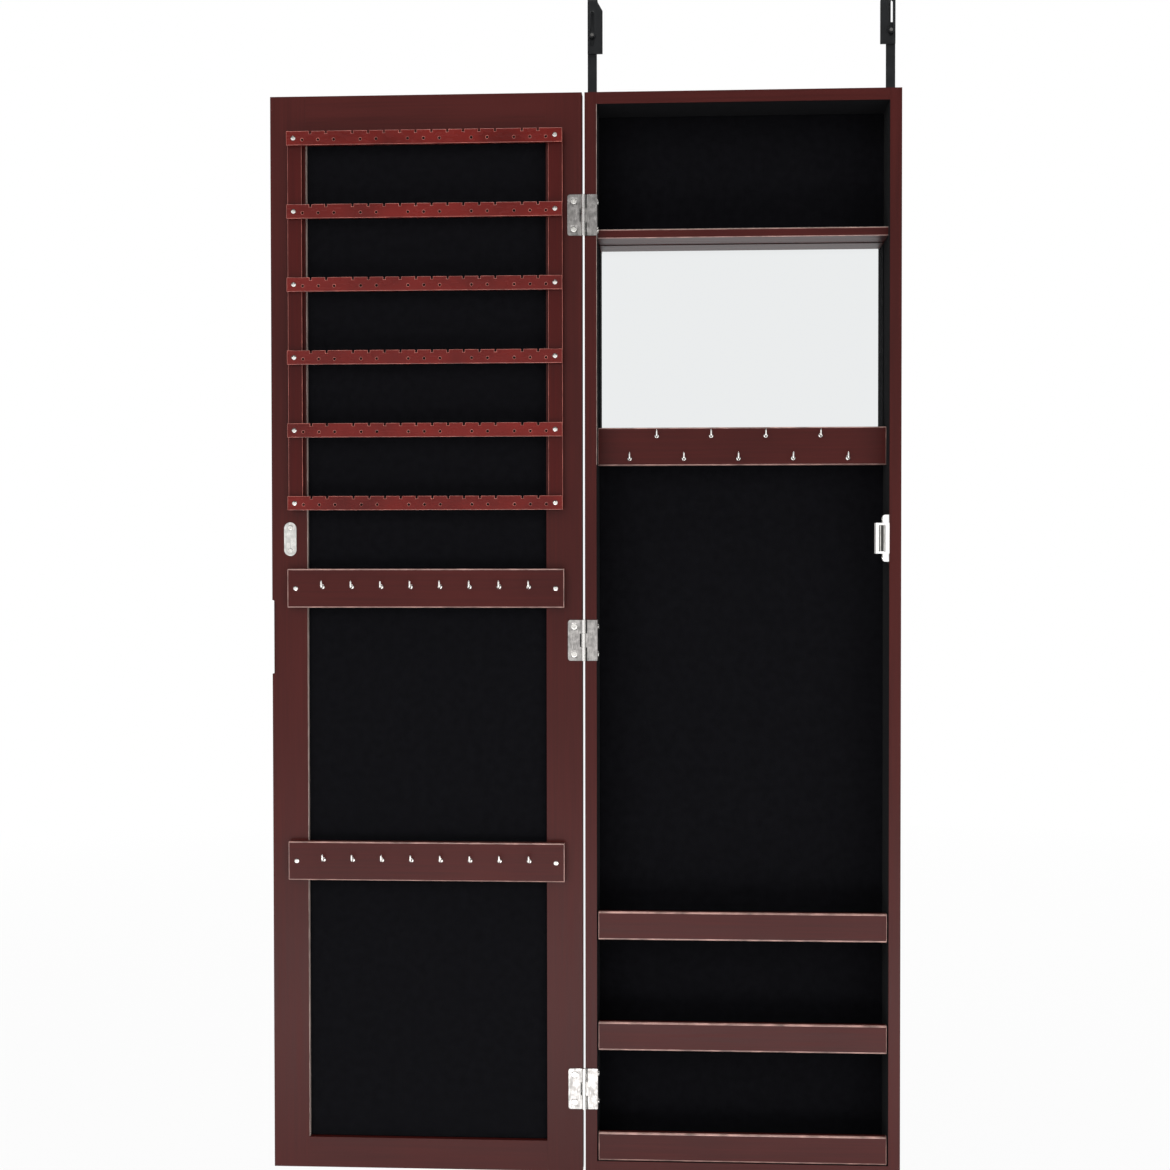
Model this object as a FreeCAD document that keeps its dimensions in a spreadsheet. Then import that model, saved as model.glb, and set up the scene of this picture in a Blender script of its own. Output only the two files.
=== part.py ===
import FreeCAD, Part
import math
import os
import re

import Sketcher

# A hanging jewelry cabinet with a mirror on its door, at rest with the door swung fully open.
#
# Millimetres.  The flat back of the box lies at y = 0 and the box opens towards -y; x runs
# across it and z runs up.  The origin is the middle of the back panel's rear face.  The door is
# hinged on the left edge of the box.  At rest it lies open beside the box with its inner face,
# which carries the earring rack and the necklace rails, level with the front of the box.

# Every size that can be set by itself: name, value, meaning.
SIZES = (
    ("cabinet_width", 350, "outside width of the box, and of the door"),
    ("cabinet_height", 1206, "outside height of the box, and of the door"),
    ("cabinet_depth", 70, "back to front edge of the box, door not counted"),
    ("side_board", 13, "thickness of the side boards"),
    ("top_board", 13, "thickness of the top board"),
    ("bottom_board", 12, "thickness of the bottom board"),
    ("back_board", 3, "thickness of the back panel"),
    ("lining_board", 4, "thickness of the felt covered linings and of the mirror's backer"),
    ("glass", 3, "thickness of both mirrors"),
    ("fit_gap", 0.2, "gap round panels, linings and glass"),
    ("dado", 4, "depth of the grooves that carry the shelves"),
    ("dado_gap", 0.1, "clearance of a shelf in its grooves"),
    ("upper_room", 137, "clear height above the upper shelf"),
    ("shelf_board", 9.5, "thickness of the upper shelf"),
    ("shelf_setback", 15, "upper shelf's front edge behind the front of the box"),
    ("mirror_height", 231.5, "height of the inner mirror"),
    ("cabinet_rail_drop", 210.5, "upper shelf's underside to the top of the inner hook rail"),
    ("cabinet_rail_height", 43, "height of the inner hook rail"),
    ("cabinet_rail_board", 12, "thickness of the inner hook rail"),
    ("cabinet_rail_setback", 31, "inner hook rail's face behind the front of the box"),
    ("tray_pitch", 124.5, "from one tray lip to the next"),
    ("tray_floor", 5, "thickness of the two tray shelves"),
    ("lip_height", 32, "height of a tray's front lip"),
    ("lip_board", 8, "thickness of a tray's front lip"),
    ("lip_setback", 2, "lip's face behind the front of the box"),
    ("lip_end_gap", 1.5, "gap between a lip's end and the side board"),
    ("edge", 1.2, "chamfer along the rails and lips"),
    ("hinge_gap", 3, "gap between door and box, both open and shut"),
    ("door_board", 18, "thickness of the door frame"),
    ("stile", 40, "width of the door's side members on the inner face"),
    ("top_rail", 40, "height of the door's top member"),
    ("bottom_rail", 34, "height of the door's bottom member"),
    ("sight_lip", 6, "how far the frame laps over the door mirror"),
    ("sight_board", 3.5, "thickness of that lap"),
    ("door_backer", 3, "thickness of the board behind the door mirror"),
    ("door_felt", 2, "thickness of the felt panel in the door"),
    ("pull_length", 83, "length of the finger pull"),
    ("pull_depth", 4.5, "finger pull's depth into the door's edge"),
    ("pull_board", 9, "finger pull's depth from the inner face"),
    ("pull_drop", 605.7, "door's top to the middle of the finger pull"),
    ("rack_inset", 21, "door's side edges to the ends of the earring bars"),
    ("rack_drop", 49.5, "door's top to the middle of the top bar"),
    ("batten_width", 16, "width of the two rack battens"),
    ("batten_board", 8, "thickness of the battens"),
    ("bar_height", 15.5, "height of an earring bar"),
    ("bar_board", 6, "thickness of an earring bar"),
    ("bar_pitch", 81.2, "from one earring bar to the next"),
    ("notch_pitch", 17.7, "from one earring notch to the next"),
    ("notch_width", 2.5, "width of a notch"),
    ("notch_depth", 3, "depth of a notch"),
    ("end_group_inset", 35.7, "end of the bar to the middle of the notches at each end"),
    ("hole_radius", 1.5, "radius of an earring hole"),
    ("hole_rise", 6, "earring hole above the bar's lower edge"),
    ("rack_screw_inset", 29, "door's side edges to the screws of the bars and rails"),
    ("door_rail_inset", 19.5, "door's side edges to the ends of its hook rails"),
    ("door_rail_height", 43.5, "height of the door's hook rails"),
    ("door_rail_board", 10, "thickness of the door's hook rails"),
    ("upper_rail_drop", 550.7, "door's top to the middle of its upper hook rail"),
    ("lower_rail_drop", 857, "door's top to the middle of its lower hook rail"),
    ("door_hook_pitch", 33.1, "from one hook to the next on the door"),
    ("door_hook_rise", 1.7, "door hooks above the middle of their rail"),
    ("cabinet_hook_pitch", 61.3, "from one hook to the next in the box"),
    ("cabinet_hook_shift", -3.5, "inner hooks off the middle of the box"),
    ("low_hook_rise", 8, "lower row of hooks above the inner rail's lower edge"),
    ("high_hook_rise", 33.5, "upper row of hooks above the inner rail's lower edge"),
    ("wire_radius", 1.1, "half the thickness of a cup hook's wire"),
    ("collar_radius", 2.6, "radius of a cup hook's collar"),
    ("collar_board", 1, "thickness of that collar"),
    ("hook_dip", 25, "degrees that a cup hook's wire dips from its collar"),
    ("hook_neck", 2, "straight neck of a cup hook"),
    ("hook_bow", 3.4, "radius of a cup hook's bend"),
    ("hook_tip", 4.8, "straight tip of a cup hook"),
    ("hook_thread", 7, "cup hook's length in the wood"),
    ("hinge_height", 45.5, "height of a hinge"),
    ("hinge_top_drop", 136, "door's top to the middle of the top hinge"),
    ("hinge_middle_drop", 609, "door's top to the middle of the middle hinge"),
    ("hinge_bottom_drop", 1112.3, "door's top to the middle of the bottom hinge"),
    ("leaf_board", 1.3, "thickness of a hinge leaf"),
    ("leaf_width", 16, "width of the door leaf"),
    ("leaf_corner", 2.8, "corner radius of the door leaf"),
    ("flange_depth", 14, "hinge flange's reach along the inner wall"),
    ("knuckle_radius", 2, "outside radius of a knuckle"),
    ("knuckle_gap", 0.3, "gap between knuckles"),
    ("pin_radius", 1.1, "radius of a hinge pin"),
    ("pin_clearance", 0.05, "radial clearance of a hinge pin"),
    ("pin_proud", 0.5, "hinge pin past the knuckles at each end"),
    ("hinge_screw_span", 31, "between the two screws of a leaf"),
    ("hinge_screw_head", 3.4, "radius of the hinge screws' heads"),
    ("leaf_screw_reach", 9, "door leaf's screws from its edge at the knuckles"),
    ("flange_screw_reach", 8.4, "flange's screws behind its outer face"),
    ("screw_radius", 1.4, "radius of the small wood screws"),
    ("screw_hole_gap", 0.1, "clearance of a screw in a metal leaf or plate"),
    ("screw_head_radius", 2.7, "radius of the small screws' heads"),
    ("screw_head", 1, "height of the small screws' heads"),
    ("sunk_head", 0.6, "thickness of a sunk screw's head"),
    ("screw_length", 9, "length of the small screws"),
    ("strike_width", 14, "width of the strike plate"),
    ("strike_height", 38, "height of the strike plate"),
    ("strike_board", 1.2, "thickness of the strike plate"),
    ("strike_screw_span", 26, "between the strike plate's screws"),
    ("catch_drop", 495.5, "box's top to the middle of the magnetic catch"),
    ("catch_reach", 15, "catch's reach from the side wall"),
    ("catch_height", 34, "height of the catch's body"),
    ("catch_depth", 15, "front to back of the catch's body"),
    ("catch_proud", 0.6, "catch's face in front of the box"),
    ("catch_base_height", 52, "height of the catch's screwed base"),
    ("catch_base_board", 7, "thickness of that base"),
    ("catch_base_depth", 11, "front to back of that base"),
    ("catch_base_setback", 1, "catch's base behind the front of the box"),
    ("catch_base_round", 3, "corner radius of that base"),
    ("catch_screw_span", 43, "between the catch's screws"),
    ("pocket_inset", 8, "side wall to the middle of the catch's pocket"),
    ("pocket_width", 7, "width of the catch's pocket"),
    ("pocket_height", 29, "height of the catch's pocket"),
    ("pocket_depth", 10, "depth of the catch's pocket"),
    ("magnet_board", 3, "thickness of the magnet"),
    ("pole_board", 1.2, "thickness of a steel pole plate"),
    ("pole_proud", 1, "pole plates in front of the catch's face"),
    ("strap_width", 10.5, "width of a hanging strap"),
    ("strap_board", 2, "thickness of a hanging strap"),
    ("strap_recess", 0.2, "strap's rear face below the flat back"),
    ("strap_below", 180, "strap's length down the side board"),
    ("strap_above", 91, "strap's length above the box"),
    ("strap_screw_drop", 40, "box's top to the first strap screw"),
    ("strap_screw_span", 100, "between a strap's screws"),
    ("stud_drop", 10, "clamping stud below the strap's upper end"),
    ("stud_radius", 2, "radius of the clamping stud"),
    ("stud_gap", 0.2, "clearance between stud and slot, and beside the sliding hook"),
    ("nut_width", 7, "clamping nut across its flats"),
    ("nut_board", 3.2, "thickness of the clamping nut"),
    ("hook_board", 2, "thickness of the over-door hooks"),
    ("hook_width", 11, "width of an over-door hook's bridge"),
    ("leg_width", 17.2, "width of an over-door hook's front leg"),
    ("leg_height", 64, "height of an over-door hook's front leg"),
    ("leg_slope", 11, "height of the sloped corner where the leg widens"),
    ("rear_leg", 50, "height of an over-door hook's rear leg"),
    ("door_room", 44, "thickest house door that the hooks go over"),
    ("bend_radius", 2, "inside radius of the hooks' bends"),
    ("slot_foot", 11, "leg's lower edge to the lower end of its slot"),
    ("slot_span", 36, "how far the stud can travel in the slot"),
    ("left_setting", 10, "stud above the lower end of the left hook's slot"),
    ("right_setting", 4, "stud above the lower end of the right hook's slot"),
)

# Places that follow from the sizes, each written once.
PLACES = {
    "half_width": "cabinet_width / 2",
    "half_height": "cabinet_height / 2",
    "inner_half": "half_width - side_board",
    "front": "-cabinet_depth",
    "roof": "half_height - top_board",
    "floor": "bottom_board - half_height",
    "lining_face": "-back_board - lining_board",
    "mirror_face": "lining_face - glass",
    "shelf_top": "roof - upper_room",
    "shelf_under": "shelf_top - shelf_board",
    "mirror_foot": "shelf_under - mirror_height",
    "cabinet_rail_face": "front + cabinet_rail_setback",
    "cabinet_rail_foot": "shelf_under - cabinet_rail_drop - cabinet_rail_height",
    "lip_face": "front + lip_setback",
    "axis_x": "-half_width - hinge_gap / 2",
    "axis_y": "front - hinge_gap / 2",
    "door_mid": "-cabinet_width - hinge_gap",
    "door_outer": "front + door_board",
    "lip_seat": "door_outer - sight_board",
    "recess_half": "half_width - stile",
    "recess_top": "half_height - top_rail",
    "recess_foot": "bottom_rail - half_height",
    "sight_half": "recess_half - sight_lip",
    "rack_width": "cabinet_width - 2 * rack_inset",
    "end_group": "rack_width / 2 - end_group_inset",
    "bar_back": "front - batten_board",
    "bar_face": "bar_back - bar_board",
    "top_bar_foot": "half_height - rack_drop - bar_height / 2",
    "door_rail_face": "front - door_rail_board",
    "catch_mid": "half_height - catch_drop",
    "catch_face": "front - catch_proud",
    "catch_base_face": "front + catch_base_setback",
    "pocket_mid": "inner_half - pocket_inset",
    "leaf_face": "hinge_gap / 2 - leaf_board",
    "strap_back": "-strap_recess",
    "strap_face": "-strap_recess - strap_board",
    "strap_mid": "half_width - strap_width / 2",
    "strap_top": "half_height + strap_above",
    "stud_height": "strap_top - stud_drop",
    "leg_back": "strap_face - stud_gap",
    "leg_face": "leg_back - hook_board",
}

BARS = 6
DOOR_HOOKS, LOW_HOOKS, HIGH_HOOKS = 8, 5, 4
HINGES = (("top", "hinge_top_drop"), ("middle", "hinge_middle_drop"), ("bottom", "hinge_bottom_drop"))
SIDES = (("left", -1), ("right", 1))
STRAP_SCREWS = ("strap_screw_drop", "strap_screw_drop + strap_screw_span")
OUT = "parts"

# Each row of notches or holes on an earring bar: its first place and how many it has.
NOTCH_ROWS = (
    ("-end_group - notch_pitch / 2", 2),
    ("-4.5 * notch_pitch", 10),
    ("end_group - notch_pitch / 2", 2),
)
HOLE_ROWS = (
    ("-end_group - notch_pitch", 3),
    ("-4 * notch_pitch", 2),
    ("-notch_pitch", 3),
    ("3 * notch_pitch", 2),
    ("end_group - notch_pitch", 3),
)
HOLE_SIDES = 8  # flats of a small drilled hole
HEAD_SIDES = 8  # flats of a small screw's head, a stud or a hook's collar
SHANK_SIDES = 4  # flats of a shank that is buried in wood
WIRE_SIDES = 6  # flats of a cup hook's thin wire
KNUCKLE_SIDES = 12  # flats of a hinge knuckle
NUT_SIDES = 6
BOW_STEPS = 4  # straight stretches of a cup hook's bend

V = FreeCAD.Vector
ORIGIN, X, Y, Z = V(0, 0, 0), V(1, 0, 0), V(0, 1, 0), V(0, 0, 1)

doc = FreeCAD.newDocument("jewelry_cabinet")
sheet = doc.addObject("Spreadsheet::Sheet", "Sizes")
pieces = []


# ---------------------------------------------------------------- sizes and formulas


def fill_sheet():
    """One row for each size: its name, its value and what it is."""
    for row, (name, number, meaning) in enumerate(SIZES, 1):
        sheet.set(f"A{row}", name)
        sheet.set(f"B{row}", str(number))
        sheet.set(f"C{row}", meaning)
        sheet.setAlias(f"B{row}", name)
    doc.recompute()


def formula(text):
    """The text with each place written out and each size turned into its cell."""
    names = {name for name, _, _ in SIZES}

    def swap(match):
        word = match.group(0)
        if word in PLACES:
            return "(" + formula(PLACES[word]) + ")"
        return "Sizes." + word if word in names else word

    return re.sub(r"[a-z][a-z_]*", swap, text)


def value(text):
    """What a formula comes to."""
    return float(sheet.evalExpression(formula(text)))


def bind(thing, path, text):
    thing.setExpression(path, formula(text))


def stand(thing, place):
    """Ties a thing's Placement to three formulas."""
    for way, text in zip("xyz", place):
        bind(thing, "Placement.Base." + way, text)


def mirrored(side, near, far):
    """Lower end and length of a stretch from near to far, counted outwards on one side."""
    return (near if side > 0 else f"-({far})"), f"({far}) - ({near})"


# ---------------------------------------------------------------- solids


def piece(label, thing):
    """Names a finished sub-part and keeps it."""
    thing.Label = label
    pieces.append(thing)
    return thing


def block(name, size, corner):
    solid = doc.addObject("Part::Box", name)
    for side, text in zip(("Length", "Width", "Height"), size):
        bind(solid, side, text)
    stand(solid, corner)
    return solid


def flats(radius, sides=HOLE_SIDES):
    """The corner radius of a regular outline whose flats are at a radius."""
    return f"({radius}) / cos(180 / {sides})"


def drill(name, corner_radius, length, start):
    """A tool for a small faceted hole towards +y."""
    solid = doc.addObject("Part::Prism", name)
    solid.Polygon = HOLE_SIDES
    bind(solid, "Circumradius", corner_radius)
    bind(solid, "Height", length)
    solid.Placement.Rotation = FreeCAD.Rotation(Z, Y)
    stand(solid, start)
    return solid


def together(name, parts):
    if len(parts) == 1:
        return parts[0]
    union = doc.addObject("Part::MultiFuse", name)
    union.Shapes = parts
    return union


def carve(label, base, tools):
    """A sub-part: the base less its tools."""
    cut = doc.addObject("Part::Cut", label)
    cut.Base = base
    cut.Tool = together(label + "_tools", tools)
    return piece(label, cut)


def feature(label, solids):
    """A sub-part of separate like solids, worked out from the sheet's sizes."""
    thing = doc.addObject("Part::Feature", label)
    thing.Shape = Part.makeCompound(solids)
    thing.Placement = FreeCAD.Placement()
    return piece(label, thing)


def ring(radius, sides):
    """A closed regular outline round the origin, flat on z = 0, its corners at the given radius."""
    turns = [2 * math.pi * k / sides for k in range(sides)]
    corners = [V(radius * math.cos(turn), radius * math.sin(turn), 0) for turn in turns]
    return Part.makePolygon([*corners, corners[0]])


def prism(radius, height, sides):
    """An upright prism on the origin, its corners at the given radius."""
    return Part.Face(ring(radius, sides)).extrude(Z * height)


def aimed(solid, place, along):
    """A copy of a solid that was made along +z, moved to a place and turned along a way."""
    copy = solid.copy()
    copy.Placement = FreeCAD.Placement(place, FreeCAD.Rotation(Z, along))
    return copy


# ---------------------------------------------------------------- bodies with sketches


def base_plane(body, role):
    return next(one for one in body.Origin.OriginFeatures if one.Role == role)


def new_body(label, place=None):
    body = doc.addObject("PartDesign::Body", label)
    if place:
        stand(body, place)
    return piece(label, body)


def new_sketch(body, name, role, lift):
    """A sketch on one of the body's own planes, lifted along that plane's normal."""
    sketch = body.newObject("Sketcher::SketchObject", name)
    sketch.AttachmentSupport = [(base_plane(body, role), "")]
    sketch.MapMode = "FlatFace"
    bind(sketch, "AttachmentOffset.Base.z", lift)
    return sketch


def tie(sketch, kind, where, text):
    """A dimension of a sketch, bound to a formula."""
    index = sketch.addConstraint(Sketcher.Constraint(kind, *where, value(text)))
    sketch.setExpression(f"Constraints[{index}]", formula(text))


def outline(body, name, role, corners, lift="0"):
    """A closed sketch through corners, each a pair of formulas."""
    sketch = new_sketch(body, name, role, lift)
    spots = [V(value(across), value(up), 0) for across, up in corners]
    count = len(spots)
    for k in range(count):
        sketch.addGeometry(Part.LineSegment(spots[k], spots[(k + 1) % count]), False)
    for k in range(count):
        sketch.addConstraint(Sketcher.Constraint("Coincident", k, 2, (k + 1) % count, 1))
    for k, (across, up) in enumerate(corners):
        tie(sketch, "DistanceX", (-1, 1, k, 1), across)
        tie(sketch, "DistanceY", (-1, 1, k, 1), up)
    return sketch


def slot_outline(body, name, role, middle, half, radius, lift="0"):
    """A closed upright slot: two straights and two half circles."""
    sketch = new_sketch(body, name, role, lift)
    across, up = value(middle[0]), value(middle[1])
    reach, round_end = value(half), value(radius)
    low, high = V(across, up - reach, 0), V(across, up + reach, 0)
    side = V(round_end, 0, 0)
    sketch.addGeometry(Part.ArcOfCircle(Part.Circle(high, Z, round_end), 0, math.pi), False)
    sketch.addGeometry(Part.LineSegment(high - side, low - side), False)
    sketch.addGeometry(Part.ArcOfCircle(Part.Circle(low, Z, round_end), math.pi, 2 * math.pi), False)
    sketch.addGeometry(Part.LineSegment(low + side, high + side), False)
    for first, second in ((0, 1), (1, 2), (2, 3), (3, 0)):
        sketch.addConstraint(Sketcher.Constraint("Tangent", first, 2, second, 1))
    sketch.addConstraint(Sketcher.Constraint("Equal", 0, 2))
    tie(sketch, "Radius", (0,), radius)
    for arc, text in ((0, f"{middle[1]} + {half}"), (2, f"{middle[1]} - {half}")):
        tie(sketch, "DistanceX", (-1, 1, arc, 3), middle[0])
        tie(sketch, "DistanceY", (-1, 1, arc, 3), text)
    return sketch


def pad(body, sketch, length, centred=False):
    solid = body.newObject("PartDesign::Pad", sketch.Name + "_pad")
    solid.Profile = sketch
    bind(solid, "Length", length)
    solid.Midplane = centred
    return solid


def pocket(body, sketch, length=None):
    """Cuts a sketch out of the body: to a depth along the sketch's normal, or right through."""
    hole = body.newObject("PartDesign::Pocket", sketch.Name + "_pocket")
    hole.Profile = sketch
    if length:
        bind(hole, "Length", length)
        hole.Reversed = True
    else:
        hole.Type = "ThroughAll"
        hole.Midplane = True
    return hole


def primitive(body, kind, name, role, sizes, place):
    """An added or cut box, cylinder or prism on one of the body's planes."""
    solid = body.newObject("PartDesign::" + kind, name)
    solid.AttachmentSupport = [(base_plane(body, role), "")]
    solid.MapMode = "FlatFace"
    for path, text in sizes.items():
        bind(solid, path, text)
    for way, text in zip("xyz", place):
        bind(solid, "AttachmentOffset.Base." + way, text)
    return solid


def repeat(body, name, original, axis, step, count):
    """A straight row of one feature."""
    row = body.newObject("PartDesign::LinearPattern", name)
    row.Originals = [original]
    row.Direction = (base_plane(body, axis), [""])
    row.Mode = "Spacing"
    bind(row, "Offset", step)
    row.Occurrences = count
    body.Tip = row
    return row


def round_edges(body, name, radius, chosen):
    """Rounds the edges of the body whose middle and direction satisfy a test."""
    doc.recompute([body.Tip])
    last = body.Tip
    names = []
    for number, rim in enumerate(last.Shape.Edges, 1):
        if isinstance(rim.Curve, Part.Line) and chosen(rim.CenterOfMass, rim.tangentAt(rim.FirstParameter)):
            names.append(f"Edge{number}")
    fillet = body.newObject("PartDesign::Fillet", name)
    fillet.Base = (last, names)
    bind(fillet, "Radius", radius)
    return fillet


def same_again(label, master, place):
    """A sub-part that copies another body at a place of its own."""
    body = doc.addObject("PartDesign::Body", label)
    copy = doc.addObject("PartDesign::FeatureBase", label + "_copy")
    copy.BaseFeature = master
    body.Group = [copy]
    body.Tip = copy
    stand(body, place)
    return piece(label, body)


# ---------------------------------------------------------------- the box


def side_board(word, side):
    """A side board with stopped grooves for the shelves and a step for the hanging strap."""
    label = f"cabinet_{word}_side"
    corner, length = mirrored(side, "inner_half", "half_width")
    size = (length, "cabinet_depth", "cabinet_height")
    board = block(label + "_board", size, (corner, "front", "-half_height"))
    tools = []
    for name, foot, thick, tip, tail in shelves():
        near = mirrored(side, "inner_half", "inner_half + dado")
        size = (near[1], f"({tail}) - ({tip}) + 2 * dado_gap", f"{thick} + 2 * dado_gap")
        groove = (near[0], f"{tip} - dado_gap", f"{foot} - dado_gap")
        tools.append(block(f"{label}_{name}_groove", size, groove))
    step = mirrored(side, "half_width - strap_width - dado_gap", "half_width + 1")
    size = (step[1], "strap_board + strap_recess + 1", "strap_below + 1")
    tools.append(block(label + "_step", size, (step[0], "strap_face", "half_height - strap_below")))
    carve(label, board, tools)


def shelves():
    """Each grooved shelf: name, underside, thickness, front edge and rear edge."""
    lip_back = "lip_face + lip_board"
    return (
        ("upper_shelf", "shelf_under", "shelf_board", "front + shelf_setback", "-back_board"),
        ("tray_shelf_upper", "floor + 2 * tray_pitch", "tray_floor", lip_back, "lining_face"),
        ("tray_shelf_lower", "floor + tray_pitch", "tray_floor", lip_back, "lining_face"),
    )


def box_boards():
    """Top, bottom, back panel and the three grooved shelves."""
    between = "2 * inner_half"
    top = block("top", (between, "cabinet_depth", "top_board"), ("-inner_half", "front", "roof"))
    piece("cabinet_top", top)
    size = (between, "cabinet_depth", "bottom_board")
    piece("cabinet_bottom", block("bottom", size, ("-inner_half", "front", "-half_height")))
    back = block("back", (between, "back_board", "roof - floor"), ("-inner_half", "-back_board", "floor"))
    piece("cabinet_back_panel", back)
    for name, foot, thick, tip, tail in shelves():
        half = "(inner_half + dado - dado_gap)"
        size = (f"2 * {half}", f"({tail}) - ({tip})", thick)
        piece(name, block(name + "_board", size, (f"-{half}", tip, foot)))


def linings():
    """Felt covered linings above the shelf and below the inner mirror, and the mirror itself."""
    half = "(inner_half - fit_gap)"
    for label, foot, top, face, thick in (
        ("upper_back_lining", "shelf_top + fit_gap", "roof - fit_gap", "lining_face", "lining_board"),
        ("inner_mirror_backer", "mirror_foot", "shelf_under - fit_gap", "lining_face", "lining_board"),
        ("inner_mirror_glass", "mirror_foot", "shelf_under - fit_gap", "mirror_face", "glass"),
        ("main_back_lining", "floor + fit_gap", "mirror_foot - fit_gap", "lining_face", "lining_board"),
    ):
        size = (f"2 * {half}", thick, f"({top}) - ({foot})")
        piece(label, block(label + "_panel", size, (f"-{half}", face, foot)))


def moulding(label, length, thick, height, place):
    """A straight rail, its two front edges chamfered, its back at y = 0 and its foot at z = 0."""
    body = new_body(label, place)
    profile = outline(
        body,
        label + "_profile",
        "YZ_Plane",
        (
            ("0", "0"),
            (f"edge - {thick}", "0"),
            (f"-{thick}", "edge"),
            (f"-{thick}", f"{height} - edge"),
            (f"edge - {thick}", height),
            ("0", height),
        ),
    )
    pad(body, profile, length, centred=True)
    return body


def tray_lips():
    """The three front lips, one above the other."""
    depth = "lip_face + lip_board"
    length = "2 * (inner_half - lip_end_gap)"
    lip = moulding("tray_lip_lower", length, "lip_board", "lip_height", ("0", depth, "floor"))
    same_again("tray_lip_middle", lip, ("0", depth, "floor + tray_pitch"))
    same_again("tray_lip_upper", lip, ("0", depth, "floor + 2 * tray_pitch"))


def inner_hook_rail():
    depth = "cabinet_rail_face + cabinet_rail_board"
    place = ("0", depth, "cabinet_rail_foot")
    moulding("cabinet_hook_rail", "2 * inner_half", "cabinet_rail_board", "cabinet_rail_height", place)
    spots = []
    for count, rise in ((LOW_HOOKS, "low_hook_rise"), (HIGH_HOOKS, "high_hook_rise")):
        height = f"cabinet_rail_foot + {rise}"
        spots += hook_row(count, "cabinet_hook_pitch", "cabinet_hook_shift", "cabinet_rail_face", height)
    feature("cabinet_hooks", [cup_hook(spot) for spot in spots])


# ---------------------------------------------------------------- cup hooks and screws


def hook_row(count, pitch, middle, face, height):
    """Places of a row of hooks, centred on the middle."""
    step = value(pitch)
    start = value(middle) - step * (count - 1) / 2
    return [V(start + k * step, value(face), value(height)) for k in range(count)]


def hook_line():
    """The bent wire's middle line, as corners in the x = 0 plane out from a collar at the origin.

    It dips from the collar, bows round in equal chords and ends in an upright tip.
    """
    heading = -value("hook_dip")
    step = (90 - heading) / BOW_STEPS
    chord = 2 * value("hook_bow") * math.sin(math.radians(step / 2))
    corners = [V(0, -value("collar_board") / 2, 0)]
    corners.append(corners[-1] + out_and_up(heading) * value("hook_neck"))
    for k in range(BOW_STEPS):
        corners.append(corners[-1] + out_and_up(heading + step * (k + 0.5)) * chord)
    corners.append(corners[-1] + Z * value("hook_tip"))
    return corners


def out_and_up(angle):
    """One step at so many degrees above the way out, which is -y."""
    return V(0, -math.cos(math.radians(angle)), math.sin(math.radians(angle)))


def cup_hook(place):
    """A cup hook at a place on a rail's face: threaded shank, round collar and bent wire."""
    radius = value("wire_radius")
    line = hook_line()
    section = aimed(ring(radius, WIRE_SIDES), line[0], line[1] - line[0])
    wire = Part.makePolygon(line).makePipeShell([section], True, False, 1)
    collar = aimed(prism(value("collar_radius"), value("collar_board"), HEAD_SIDES), ORIGIN, -Y)
    thread = aimed(prism(radius, value("hook_thread"), SHANK_SIDES), ORIGIN, Y)
    solid = collar.fuse([wire, thread]).removeSplitter()
    solid.translate(place)
    return solid


def screw(place, along, grip="0", crown="screw_head", radius="screw_head_radius"):
    """A wood screw at the middle of its head's outer face, pointing along.

    It reaches its usual length into the wood beyond the grip, which is the board or plate it holds.
    """
    head = prism(value(radius), value(crown), HEAD_SIDES)
    shank = prism(value("screw_radius"), value(f"{crown} + {grip} + screw_length"), SHANK_SIDES)
    return aimed(head.fuse(shank).removeSplitter(), place, along)


def screw_hole(body, name, role, length, place):
    """A small hole for a screw's shank, its flats clear of the screw."""
    return drilled(body, name, role, "screw_radius + screw_hole_gap", length, place)


def drilled(body, name, role, radius, length, place, sides=HOLE_SIDES):
    """A small drilled hole in a body, its flats at the given radius."""
    size = {"Circumradius": flats(radius, sides), "Height": length}
    hole = primitive(body, "SubtractivePrism", name, role, size, place)
    hole.Polygon = sides
    return hole


# ---------------------------------------------------------------- the door


def door_stile(label, sign):
    """A side member of the door: an L section whose thin lap holds the mirror's edge."""
    body = new_body(label)

    def across(half):
        return f"door_mid {sign} ({half})"

    section = outline(
        body,
        label + "_section",
        "XY_Plane",
        (
            (across("half_width"), "front"),
            (across("recess_half"), "front"),
            (across("recess_half"), "lip_seat"),
            (across("sight_half"), "lip_seat"),
            (across("sight_half"), "door_outer"),
            (across("half_width"), "door_outer"),
        ),
    )
    pad(body, section, "cabinet_height", centred=True)
    return body


def free_stile():
    """The stile away from the hinges, with the finger pull routed into its inner edge."""
    body = door_stile("door_free_stile", "-")
    middle = ("door_mid - half_width", "half_height - pull_drop")
    half = "(pull_length / 2 - pull_depth)"
    pull = slot_outline(body, "finger_pull", "XZ_Plane", middle, half, "pull_depth", "-front - pull_board")
    pocket(body, pull, "pull_board + 1")


def door_rail(label, foot, height, lap_foot):
    """A cross member between the stiles, with the same thin lap."""
    main = block(
        label + "_back",
        ("2 * recess_half", "door_board - sight_board", height),
        ("door_mid - recess_half", "front", foot),
    )
    lap = block(
        label + "_lap",
        ("2 * sight_half", "sight_board", f"{height} + sight_lip"),
        ("door_mid - sight_half", "lip_seat", lap_foot),
    )
    piece(label, together(label + "_union", [main, lap]))


def door_panels():
    """The mirror, its backer and the felt panel, stacked in the frame."""
    half = "(recess_half - fit_gap)"
    face = "lip_seat"
    for label, thick in (
        ("door_mirror_glass", "glass"),
        ("door_mirror_backer", "door_backer"),
        ("door_felt_panel", "door_felt"),
    ):
        face = f"{face} - {thick}"
        size = (f"2 * {half}", thick, "recess_top - recess_foot - 2 * fit_gap")
        piece(label, block(label + "_sheet", size, (f"door_mid - {half}", face, "recess_foot + fit_gap")))


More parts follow.
